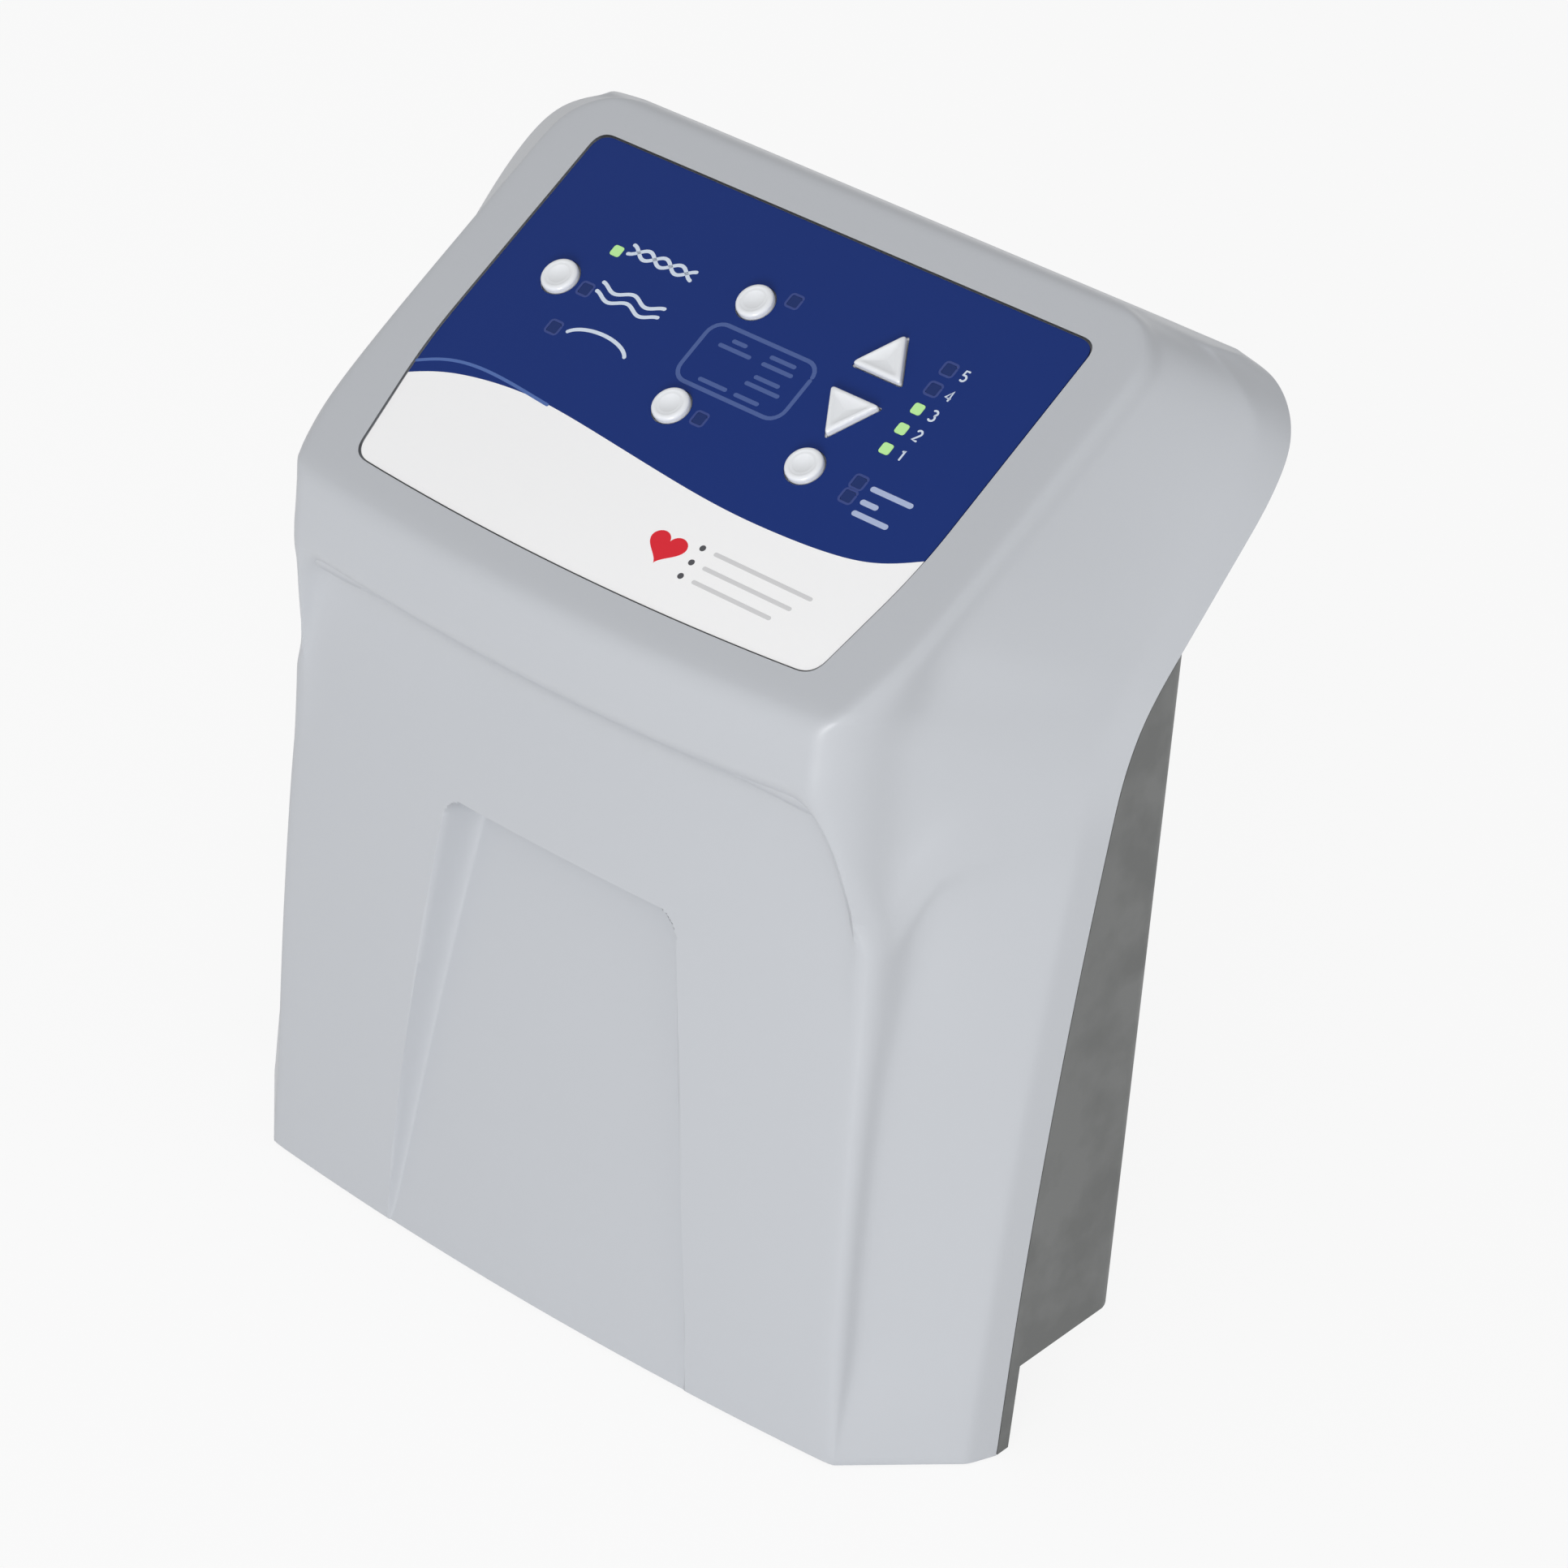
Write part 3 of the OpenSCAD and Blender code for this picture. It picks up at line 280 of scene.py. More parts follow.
# Sizes of the flange, the valley beside it and the podium that carries the panel
FLANGE_D, BROW_FLANGE_D, PANEL_FLANGE_D = 8.5, 7.5, 7.0
FACE_DRAFT, BROW_DRAFT, PANEL_DRAFT = 0.4, 0.75, 0.85
VALLEY_GAP, VALLEY_SPREAD = 1.6, 1.9
VALLEY_W = 110.0
FOOT_FADE = 40.0
BULGE = 2.5
PODIUM_W, PODIUM_R = 107.3, 20.0
STRAIGHT_BACK = np.array([1.0, 0.0])

# The panel's sections, its rear edge's place along and over the head's edge, and how far the brow fades
PANEL_V = np.array([-118, -108, -97, -82, -70, -56, -42, -28, -14, 0.0])
PANEL_S, PANEL_RISE = 60.4, 32.6
BROW_FADE = 12.0

# The lengths along the head from S_FIRST to S_EVEN are drawn together to start from S_START
S_FIRST, S_START, S_EVEN = -54.4, -14.0, 25.0

# The rear edge: its sections along the head, how steeply it falls, and its joint's low land
REAR_S = np.array([67, 70.5, 72.8, 74.6, 76, 77.6, 79.6, HEAD_LEN])
REAR_DRAFT = np.array([0.85, 0.95, 1.05, 1.15, 1.15, 1.05, 0.75, 0.3])
REAR_FALL, REAR_R = 4.2, 5.0
ROUND_FROM_S = 54.0
EDGE_LAND = 1.5


def zone(f, **sizes):
    """Sections of one stretch of the cover. A single number or direction holds for all of them."""
    shapes = {"b": (len(f), 2), "way": (len(f), 2)}
    return dict(f=f, **{k: np.broadcast_to(a, shapes.get(k, len(f))) for k, a in sizes.items()})


def face_zone(wall):
    """The face, up to just under the brow. Its valley deepens and spreads on the way up."""
    z = np.maximum(np.linspace(0, FACE_H - 1, 24), wall)
    up = ease(z / FOOT_FADE)
    high = (z / FACE_H) ** 3
    return zone(np.stack([lean(z), z], -1), b=joint(z), w=HALF_W, fd=FLANGE_D, wp=face_w(z),
                wv=face_w(z) + VALLEY_GAP + VALLEY_SPREAD * high, drop=mix(1.5, 7 + 6.6 * high, up),
                bow=bow_at(z), way=STRAIGHT_BACK, side=mix(3.5, 5, up), mid=mix(8, 6, up),
                draft=FACE_DRAFT, bulge=0)


def brow_zone():
    """The brow: its hollow, lip and top edge. The valley runs up behind it, then leans back."""
    path = np.concatenate([
        bend([lean(FACE_H), FACE_H], BROW_UNDER, BROW_LIP, 11, 8, 5),
        bend(BROW_UNDER, BROW_LIP, BROW_TOP, 5, 5, 3),
        bend(BROW_LIP, BROW_TOP, panel_line(-126), 5, 5, 5)])
    t = np.linspace(0, 1, len(path))
    soft = np.minimum(1, t * 2.2)
    b = joint(mix(FACE_H + 2, 207, t))
    wp = mix(face_w(FACE_H), BROW_W, soft) + 4 * np.maximum(0, (t - 0.75) / 0.25) ** 1.5
    wv = mix(face_w(FACE_H) + VALLEY_GAP + VALLEY_SPREAD, VALLEY_W, soft)
    valley_y = 33.5 + 9.9 * t ** 3
    bow = bow_at(path[:, 1])
    back = b - path
    drop = (valley_y - path[:, 0]) / back[:, 0] * np.linalg.norm(back, axis=-1) - bow * wp ** 2
    way = unit(mix(STRAIGHT_BACK, PANEL_ALONG, np.maximum(0, t * 2 - 1)[:, None]))
    return zone(path, b=b, w=HALF_W, fd=mix(FLANGE_D, BROW_FLANGE_D, t), wv=wv, drop=drop, wp=wp, bow=bow,
                way=way, side=mix(5, 8, soft), mid=mix(6, 3.5, soft), draft=mix(FACE_DRAFT, BROW_DRAFT, t),
                bulge=BULGE * soft)


def panel_zone():
    """The panel, from the brow's top edge to the panel's rear edge."""
    v = PANEL_V
    s = PANEL_S + v * math.cos(HEAD_SLOPE - PANEL_TILT)
    t = 1 - v / v[0]
    u = head_u(np.where(s > S_EVEN, s, mix(S_START, S_EVEN, (s - S_FIRST) / (S_EVEN - S_FIRST))))
    wp = PODIUM_W - 0.5 * np.exp((-88 - v) / 15)
    fade = np.exp((v[0] - v) / BROW_FADE)
    return zone(panel_line(v), b=joint(u), w=joint_w(u), fd=PANEL_FLANGE_D,
                wv=np.maximum(wp + 2.7, VALLEY_W - 0.5), drop=mix(8, 6, t) + 11.4 * fade, wp=wp,
                bow=FACE_BOW * (1 - t), way=PANEL_ALONG, side=3, mid=3.5, draft=PANEL_DRAFT,
                bulge=BULGE * fade)


def rear_height(s):
    """Height of the skin over the joint's plane near the rear edge: the panel's plane, then a steep fall to a
    low land. A parabola joins the two where their heights are less than REAR_R apart."""
    plane = PANEL_RISE - (s - PANEL_S) * math.tan(HEAD_SLOPE - PANEL_TILT)
    fall = (HEAD_LEN - s) * REAR_FALL
    joined = plane - (REAR_R - (fall - plane)) ** 2 / (4 * REAR_R)
    return np.where(fall > plane + REAR_R, plane,
                    np.where(fall < plane - REAR_R, np.maximum(EDGE_LAND, fall), joined))


def rear_zone():
    """The panel's end with its round corners, and the rear edge down to the joint."""
    u = head_u(REAR_S)
    w = joint_w(u)
    top = rear_height(REAR_S)
    q = np.clip(REAR_S - ROUND_FROM_S, 0, PODIUM_R)
    wp = np.minimum(PODIUM_W - PODIUM_R + np.sqrt(PODIUM_R ** 2 - q * q), w - top / 4 - 9)
    fd = np.minimum(top * 0.7, 7.5 + (HALF_W - w) * 0.55)
    drop = np.minimum(4.5, (top - fd) * 0.4)
    return zone(joint(u) + HEAD_OUT * top[:, None], b=joint(u), w=w, fd=fd, wv=wp + 3, drop=drop, wp=wp,
                bow=0, way=PANEL_ALONG, side=np.minimum(3.5, drop + 1), mid=4, draft=REAR_DRAFT, bulge=0)


def cover_stations(wall):
    """Sections of the front cover in order from the bottom edge over the brow to the head's rear edge, as
    arrays: joint point b, front point f, joint half width w, flange depth fd, valley half width wv and drop,
    front half width wp, bow and its direction way, cut of the podium's corner towards the side and the
    middle, draft of the flange, bulge of the podium's side. The inside stops short of the rear edge."""
    zones = [face_zone(wall), brow_zone(), panel_zone(), rear_zone()]
    if wall:
        zones[-1] = {k: a[:3] for k, a in zones[-1].items()}
    return {k: np.concatenate([part[k] for part in zones]) for k in zones[0]}


SIDE_STEPS = [1, 2, 2, 3, 3, 2, 2, 3, 3, 2, 4, 4, 3]
FLANGE_CUT, VALLEY_CUT = 2.6, 6.0
INNER_PITCH = 6.0


def half_net(st, wall):
    """Half of each section as rows of points from the joint line to the middle: a B-spline round the flange,
    the valley and the podium's corner, then straight across the front. wall moves it inwards."""
    span = st["f"] - st["b"]
    d = np.linalg.norm(span, axis=-1)
    e = np.where(d[:, None] > 0.3, span / np.maximum(d, 1e-6)[:, None], HEAD_OUT)
    depth = np.maximum(0.1, d - wall)
    fd = np.minimum(st["fd"], d) - wall * 0.6
    w = st["w"] - wall
    wp = np.maximum(1, np.minimum(st["wp"], w) - wall)
    wv = np.minimum(st["wv"] - wall * 0.7, w - st["draft"] * fd - 1)

    def at(x, along, bowed):
        yz = st["b"] + e * along[:, None] + st["way"] * (st["bow"] * bowed ** 2)[:, None]
        return np.concatenate([x[:, None], yz], axis=-1)

    zero = np.zeros_like(w)
    j0, j1 = at(w, zero, zero), at(w - st["draft"] * fd, fd, zero)
    j2, j3 = at(wv, np.maximum(0.1, depth - st["drop"]), wp), at(wp, depth, wp)
    leg1 = np.linalg.norm(j1 - j2, axis=-1)
    leg2 = np.linalg.norm(j2 - j3, axis=-1)
    c1 = np.minimum(np.minimum(FLANGE_CUT, leg1 * 0.4), fd * 0.6)[:, None]
    c2 = np.minimum(np.minimum(VALLEY_CUT, leg1 * 0.4), leg2 * 0.4)[:, None]
    c3 = np.minimum(st["side"] * 1.3, leg2 * 0.55)[:, None]
    flat_from = wp - np.minimum(st["mid"] * 1.2, wp * 0.5)
    inner = [at(flat_from - k * INNER_PITCH, depth, flat_from - k * INNER_PITCH) for k in range(4)]
    net = [j0, mix(j0, j1, 0.5), j1 + unit(j0 - j1) * c1, j1, j1 + unit(j2 - j1) * c1, mix(j1, j2, 0.5),
           j2 + unit(j1 - j2) * c2, j2, j2 + unit(j3 - j2) * c2,
           j3 + unit(j2 - j3) * c3 + st["bulge"][:, None] * [1, 0, 0], j3] + inner
    weights = spline_weights(len(net), places_by_steps(SIDE_STEPS))
    side = np.einsum("pk,skx->spx", weights, np.stack(net, axis=1))
    edge = flat_from - 2 * INNER_PITCH
    return side, edge, depth, e


RECESS_W, RECESS_TAPER, RECESS_H, RECESS_D = 59.0, 15.5, 147.0, 11.5
RECESS_FOOT_D = 0.3
RECESS_R = 7.0
RECESS_TOP_RUN = 1.8
FRONT_Y = 60.0
ROW_PITCH = 1.6
FINE_PITCH, FINE_FROM, FINE_TO = 0.7, 128.0, 156.0


def recess_w(z):
    full = RECESS_H - 1
    return RECESS_W - RECESS_TAPER * (np.clip(z, 0, full) / full) ** 1.3


def recess_depth(z):
    return RECESS_FOOT_D + (RECESS_D - RECESS_FOOT_D) * (np.clip(z, 0, RECESS_H) / RECESS_H) ** 0.65


def recess_run(z):
    """Run of the recess's side walls, from the rim to the floor."""
    return 0.7 + 0.55 * recess_depth(z)


def front_sheet(wall):
    """Grid of points of the cover's skin, and of its inside when wall isn't 0. Columns are closer
    together over the recess's side walls, and rows over its upper edge."""
    st = cover_stations(wall)
    side, edge, depth, e = half_net(st, wall)
    z = np.clip(st["f"][:, 1], 0, RECESS_H)
    rim, foot = recess_w(z) + wall, recess_w(z) - recess_run(z) + wall
    stops = [edge, rim + 5, rim + 1, foot - 1.5, foot - 6, 0 * edge]
    counts = [5, 4, 14, 4, 6]
    xs = np.concatenate([mix(a[:, None], b[:, None], (np.arange(1, n + 1) / n)[None, :])
                         for a, b, n in zip(stops, stops[1:], counts)], axis=1)
    at = st["b"] + e * depth[:, None]
    yz = at[:, None, :] + st["way"][:, None, :] * (st["bow"][:, None] * xs ** 2)[..., None]
    front = np.concatenate([xs[..., None], yz], axis=-1)
    half = np.concatenate([side, front], axis=1)
    step = np.linalg.norm(np.diff(st["f"], axis=0), axis=-1)
    height = st["f"][1:, 1]
    pitch = np.where((height > FINE_FROM) & (height < FINE_TO), FINE_PITCH, ROW_PITCH)
    steps = np.maximum(1, np.ceil(step / pitch)).astype(int)
    weights = spline_weights(len(half), places_by_steps(steps))
    half = sink_recess(np.einsum("rs,scx->rcx", weights, half), wall)
    if not wall:
        half = sag_brow_ends(half)
    mirrored = half[:, -2::-1] * np.array([-1, 1, 1])
    return np.concatenate([half, mirrored], axis=1)


def sink_recess(points, wall):
    """Moves the front's points back into the recess by its depth at their height, times an ease from the rim.
    The distance from the rim is that of a box with round upper corners."""
    x, y, z = np.abs(points[..., 0]), points[..., 1], points[..., 2]
    top = RECESS_H + wall
    qx, qz = x - (recess_w(z) + wall - RECESS_R), z - (top - RECESS_R)
    corner = (qx > 0) & (qz > 0)
    reach = RECESS_R - np.where(corner, np.hypot(qx, qz), np.maximum(qx, qz))
    steep = ease(np.where(corner, qz / np.maximum(np.hypot(qx, qz), 1e-6), qz > qx))
    share = np.clip(reach / mix(recess_run(z), RECESS_TOP_RUN, steep), 0, 1)
    fall = mix(ease(share), 1 - (1 - share) ** 2, 0.7)
    on_front = (y < FRONT_Y) & (z < top + 1)
    moved = points.copy()
    moved[..., 1] += np.where(on_front, recess_depth(z) * fall, 0)
    return moved


BROW_SAG = 27.0
SAG_FROM, SAG_RUN = 82.0, 22.0
BROW_ARCH = 4.5


def ramp(value, start, length):
    """Eased rise from 0 at the start to 1 a length further on."""
    return ease((value - start) / length)


def sag_brow_ends(points):
    """Draws the brow's lower edge down near each end, so that it turns into the face's side edge in one
    curve. From the middle to there it rises by an arch. Both fade out down the face, over the lip and into
    the valley, and the points keep to the leaning face as they slide."""
    x, y, z = np.abs(points[..., 0]), points[..., 1], points[..., 2]
    front = 1 - ramp(y, 26, 18)
    near = np.clip((x - SAG_FROM) / SAG_RUN, 0, 1) ** 3.2 * front
    reach = ramp(z, 112, 70) * (1 - ramp(z, 195, 18))
    arch = BROW_ARCH * np.minimum(x / 90, 1) ** 2 * ramp(z, 160, 30) * (1 - ramp(z, 203, 22))
    drop = BROW_SAG * near * reach - arch * front
    moved = points.copy()
    moved[..., 2] -= drop
    slid = lean(z - drop) - lean(z) + (bow_at(z - drop) - bow_at(z)) * x * x * 0.7
    moved[..., 1] += slid * front * (1 - ramp(z, 186, 22))
    return moved


def with_foot(sheet):
    """The sheet with rows that close the foot: its first row drawn back to the joint line in its own plane,
    and lifted a little at the front so that the bottom edge is round."""
    first = sheet[0]
    back = first[0]
    shares = np.array([0, 0.3, 0.6, 0.85, 0.955, 0.985, 0.997])
    lift = np.array([0, 0, 0, 0, 0, 0.2, 0.7])
    foot = back + (first - back) * [1, 0, 0]
    rows = foot + (first - foot) * shares[:, None, None]
    rows[..., 2] += lift[:, None]
    return np.concatenate([rows, sheet[2:]])


def with_land(sheet):
    """The sheet with one more row: its last one dropped onto the joint's plane, as the head's rear land."""
    end = HEAD_AT + HEAD_ALONG * HEAD_LEN
    height = (sheet[-1][:, 1:] - end) @ HEAD_OUT
    land = sheet[-1].copy()
    land[:, 1:] -= height[:, None] * HEAD_OUT
    return np.concatenate([sheet, land[None]])


def shell(name, outer, inner):
    """Closed shell from two grids with the same columns: the inner grid faces the other way, and strips join
    their edges. Where the outer grid has more rows, its last ones fan in to the inner grid's last row. With
    the front's grids the faces come out pointing inwards."""
    ro, c = outer.shape[:2]
    ri = inner.shape[0]
    start = ro * c
    faces = [grid_faces(ro, c), grid_faces(ri, c, start, flip=True)]
    i = np.arange(ro - 1)
    a, b = np.minimum(i, ri - 1), np.minimum(i + 1, ri - 1)
    for col, flip in ((0, True), (c - 1, False)):
        quad = np.stack([i * c + col, (i + 1) * c + col, start + b * c + col, start + a * c + col], -1)
        faces.append(quad[:, ::-1] if flip else quad)
    j = np.arange(c - 1)
    faces.append(np.stack([j + 1, j, start + j, start + j + 1], -1))
    last_o, last_i = (ro - 1) * c, start + (ri - 1) * c
    faces.append(np.stack([last_o + j, last_o + j + 1, last_i + j + 1, last_i + j], -1))
    quads = np.concatenate(faces)
    pinched = quads[:, 2] == quads[:, 3]
    return add_mesh(name, np.concatenate([outer.reshape(-1, 3), inner.reshape(-1, 3)]),
                    quads[~pinched].tolist() + quads[pinched, :3].tolist())


def smooth_by_angle(piece, degrees):
    """Smooth shading, with edges sharper than the angle kept crisp."""
    data = piece.data
    data.polygons.foreach_set("use_smooth", [True] * len(data.polygons))
    data.set_sharp_from_angle(angle=math.radians(degrees))


def prism(name, outline, low, high):
    """Closed block over an outline of panel places, from the height low to the height high."""
    n = len(outline)
    u, v = np.asarray(outline, float).T
    points = np.concatenate([on_panel(u, v, low), on_panel(u, v, high)])
    i = np.arange(n)
    k = (i + 1) % n
    sides = np.stack([i, k, k + n, i + n], -1).tolist()
    ends = [list(range(n))[::-1], list(range(n, 2 * n))]
    return add_mesh(name, points, sides + ends, smooth=False)


def cut(piece, cutters):
    """Takes the cutters' solids out of the piece, then deletes them."""
    for tool in cutters:
        step = piece.modifiers.new("cut", "BOOLEAN")
        step.operation = "DIFFERENCE"
        step.solver = "EXACT"
        step.object = tool
    graph = bpy.context.evaluated_depsgraph_get()
    data = bpy.data.meshes.new_from_object(piece.evaluated_get(graph))
    piece.modifiers.clear()
    piece.data = data
    for tool in cutters:
        bpy.data.objects.remove(tool)


# The printed film as panel places: half width, length, where its sides start to taper and by how much, the
# bow of its front edge, corner cuts, and its top's height and thickness
FILM_HW = 90.25
FILM_LEN = 122.4
FILM_TAPER_V = -80.0
FILM_TAPER = 6.0
FILM_BOW = 0.00047
FILM_CUT, TAPER_CUT = 5.5, 14.0
FILM_TOP = -0.35
FILM_THICK = 0.5

# The blocks for the film's pocket and for the window that the buttons reach through. front_cover says what
# they leave.
POCKET_GAP, POCKET_FLOOR = 0.55, -0.95
WINDOW_HW, WINDOW_FRONT_V, WINDOW_REAR_V = 77.0, -79.0, -13.0


def front_edge(u):
    return FILM_BOW * np.asarray(u, float) ** 2 - FILM_LEN


def film_outline(grow=0.0):
    """The film's outline: straight sides that taper at the front, a bowed front edge and round corners."""
    w, wf = FILM_HW + grow, FILM_HW - FILM_TAPER + grow
    rear, side, front = [w, grow], [w, FILM_TAPER_V], [wf, front_edge(wf) - grow]
    inward = [wf - 20, front_edge(wf - 20) - grow]
    right = np.concatenate([
        bend([0, grow], rear, side, FILM_CUT, FILM_CUT, 10),
        bend(rear, side, front, TAPER_CUT, TAPER_CUT, 10),
        bend(side, front, inward, FILM_CUT, FILM_CUT, 12)])
    u = np.linspace(wf - 10, -(wf - 10), 41)
    return np.concatenate([right, np.stack([u, front_edge(u) - grow], -1), right[::-1] * [-1, 1]])


def front_cover():
    """The moulded front: skin and inside as one shell. Its faces point inwards, which spoils the two cuts: the
    pocket leaves an open hole in the skin, without walls or floor, and the window leaves the inside whole."""
    skin, inside = with_land(with_foot(front_sheet(0.0))), with_foot(front_sheet(WALL))
    piece = shell("front_shell", skin, inside)
    window = [[-WINDOW_HW, WINDOW_FRONT_V], [-WINDOW_HW, WINDOW_REAR_V],
              [WINDOW_HW, WINDOW_REAR_V], [WINDOW_HW, WINDOW_FRONT_V]]
    pocket = film_outline(POCKET_GAP)[::-1]
    cut(piece, [prism("pocket", pocket, POCKET_FLOOR, 4), prism("window", window, -9, 1)])
    smooth_by_angle(piece, 40)
    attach(piece, HOUSING)
    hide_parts("front_cover")
    return piece


def flat_piece(name, outlines, low, high):
    """Thin plate over filled outlines of panel places. An outline inside another one is a hole."""
    curve = bpy.data.curves.new(name, "CURVE")
    curve.dimensions = "2D"
    curve.fill_mode = "BOTH"
    curve.extrude = (high - low) / 2
    for outline in outlines:
        spline = curve.splines.new("POLY")
        spline.points.add(len(outline) - 1)
        flat = np.column_stack([outline, np.zeros(len(outline)), np.ones(len(outline))])
        spline.points.foreach_set("co", flat.astype(np.float32).ravel())
        spline.use_cyclic_u = True
    source = bpy.data.objects.new(name, curve)
    data = bpy.data.meshes.new_from_object(source)
    bpy.data.objects.remove(source)
    places = np.zeros(len(data.vertices) * 3, np.float32)
    data.vertices.foreach_get("co", places)
    u, v, h = places.reshape(-1, 3).T
    points = row(on_panel(u, v, h + (low + high) / 2))
    data.vertices.foreach_set("co", points.astype(np.float32).ravel())
    data.update()
    piece = bpy.data.objects.new(name, data)
    bpy.context.scene.collection.objects.link(piece)
    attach(piece, HOUSING)
    return piece


# Places on the panel: the round buttons, the arrows with the way each points, and the lamps
ROUND_AT = {"mode": (-68.0, -45.5), "firm": (-8.4, -28.8), "lock": (-8.4, -66.9), "sound": (39.9, -66.7)}
ARROW_AT = {"raise": ((39.6, -28.9), 1), "lower": ((39.1, -47.4), -1)}
BUTTON_R = 5.55
ROUND_RIM, ARROW_RIM = 1.15, 1.0
RIM_TOP = 1.5
DISH_DEPTH = 0.75
ARROW_BASE, ARROW_H, ARROW_CUT = 17.4, 14.0, 1.6
CAP_GAP = 0.45
# The cap's skirt ends on a ledge under the cover: heights of the skirt's top, of the ledge and of its foot
SKIRT_TOP, LEDGE_TOP, LEDGE_SIDE, CAP_FOOT = -1.5, -4.7, -4.75, -5.75
ROUND_LEDGE, ARROW_LEDGE = 1.4, 1.1
LAMP_W = 3.5
LAMP_GAP = 0.2
LAMP_FOOT = -4.4
LEVEL_V = [-23.8, -30.9, -38.0, -45.1, -52.2]
LEVEL_U = 57.2
LIT = [(LEVEL_U, v) for v in LEVEL_V[2:]] + [(-58.3, -31.3)]
UNLIT = [(LEVEL_U, v) for v in LEVEL_V[:2]] + [(-58.3, -45.7), (-58.3, -60.0), (1.7, -23.7), (1.8, -66.8),
                                               (57.2, -64.3), (57.2, -69.2)]


def circle(at, r, n=48):
    a = np.linspace(0, 2 * math.pi, n, endpoint=False)
    return np.stack([at[0] + r * np.cos(a), at[1] + r * np.sin(a)], -1)


def box_outline(at, w, h, r=0.0, n=6):
    """Rectangle round a place, with round corners of radius r."""
    if r == 0:
        return np.array([[-w, -h], [w, -h], [w, h], [-w, h]]) / 2 + at
    a = np.linspace(0, math.pi / 2, n + 1)
    arc = np.stack([np.cos(a), np.sin(a)], -1) * r + [w / 2 - r, h / 2 - r]
    half = np.concatenate([arc, (arc * [-1, 1])[::-1]])
    return np.concatenate([half, -half]) + at


# The wave between the film's two colours, as [u, v]
WAVE = [[-91.5, -92.0], [-80, -85.7], [-64, -82.4], [-48, -81.2], [-32, -82.3], [-16, -83.9], [0, -85.5],
        [16, -87.0], [32, -87.8], [48, -87.5], [64, -86.5], [79, -83.8], [91.5, -76.0]]


def spline_line(points, n):
    """n places along the B-spline of the points."""
    return spline_weights(len(points), np.linspace(0, len(points) - 1, n)) @ np.array(points, float)


def split_outline(outline, line):
    """The outline's part behind the line and its part in front, each closed along the line."""
    level = np.interp(outline[:, 0], line[:, 0], line[:, 1])
    over = outline[:, 1] - level
    after = np.roll(np.arange(len(outline)), -1)
    fall = np.where(over == over[after], 1, over - over[after])
    share = np.where(over * over[after] < 0, over / fall, 0)
    meets = outline + (outline[after] - outline) * share[:, None]
    crossed = np.flatnonzero(share > 0)
    first = crossed[over[crossed] < 0][0]
    turned = np.roll(outline, -first - 1, axis=0)
    behind = np.roll(over, -first - 1) > 0
    left, right = meets[crossed[np.argsort(meets[crossed, 0])]]
    inside = line[(line[:, 0] > left[0]) & (line[:, 0] < right[0])]
    border = np.concatenate([[left], inside, [right]])
    return [np.concatenate([part, border if part[-1][0] < 0 else border[::-1]])
            for part in (turned[behind], turned[~behind])]


def film():
    """The printed film: white in front of the wave and blue behind it, with holes for caps and lamps."""
    rear, front = split_outline(film_outline(), spline_line(WAVE, 120))
    holes = [circle(at, BUTTON_R + CAP_GAP) for at in ROUND_AT.values()]
    holes += [triangle_outline(at, CAP_GAP, way) for at, way in ARROW_AT.values()]
    holes += [box_outline(at, LAMP_W + LAMP_GAP, LAMP_W + LAMP_GAP, 0.9) for at in LIT + UNLIT]
    blue = flat_piece("film_blue", [rear] + holes, FILM_TOP - FILM_THICK, FILM_TOP)
    white = flat_piece("film_white", [front], FILM_TOP - FILM_THICK, FILM_TOP)
    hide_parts("overlay")
    return blue, white


def triangle_outline(at, grow, way):
    """Triangle with round corners that points up the panel, or down it where way is -1. The place is a little
    over a third of the way up it."""
    a = np.array([-ARROW_BASE / 2 - grow * 1.6, -ARROW_H * 0.36 - grow])
    b = a * [-1, 1]
    c = np.array([0, ARROW_H * 0.64 + grow * 2])
    corners = [bend(*three, ARROW_CUT, ARROW_CUT, 6) for three in ((c, a, b), (a, b, c), (b, c, a))]
    return np.concatenate(corners) * way + at


def lathe(name, at, profile, n=64):
    """Surface turned about the panel's normal at a place. The profile is (radius, height), middle first."""
    r, h = np.array(profile, float).T
    a = np.linspace(0, 2 * math.pi, n, endpoint=False)
    u, v = at[0] + np.outer(r, np.cos(a)), at[1] + np.outer(r, np.sin(a))
    points = on_panel(u, v, np.broadcast_to(h[:, None], u.shape))
    grid = grid_faces(len(r), n, closed=True)
    ends = [list(range(n)), list(range((len(r) - 1) * n, len(r) * n))[::-1]]
    return add_mesh(name, points.reshape(-1, 3), grid[:, ::-1].tolist() + ends)


def finish_cap(piece, body):
    smooth_by_angle(piece, 50)
    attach(piece, body)
    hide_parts(body)
    return piece


def round_cap(name, at):
    """Round cap: a finger dish, whose height grows with the square of the radius, in a round rim."""
    rim = ROUND_RIM
    hub = 0.15
    dish_r = np.linspace(hub, BUTTON_R - 2 * rim, 12)
    dish = RIM_TOP - DISH_DEPTH * (1 - (dish_r / (BUTTON_R - 2 * rim)) ** 2) - 0.12
    a = np.radians(np.linspace(125, 0, 13))
    edge = np.stack([BUTTON_R - rim + rim * np.cos(a), RIM_TOP - rim + rim * np.sin(a)], -1)
    ledge_r = BUTTON_R + ROUND_LEDGE
    skirt = [[BUTTON_R, SKIRT_TOP], [BUTTON_R, LEDGE_TOP], [ledge_r, LEDGE_SIDE], [ledge_r, CAP_FOOT],
             [hub, CAP_FOOT]]
    profile = np.concatenate([np.stack([dish_r, dish], -1), edge, skirt])
    return finish_cap(lathe(name + "_cap", at, profile), name + "_button")


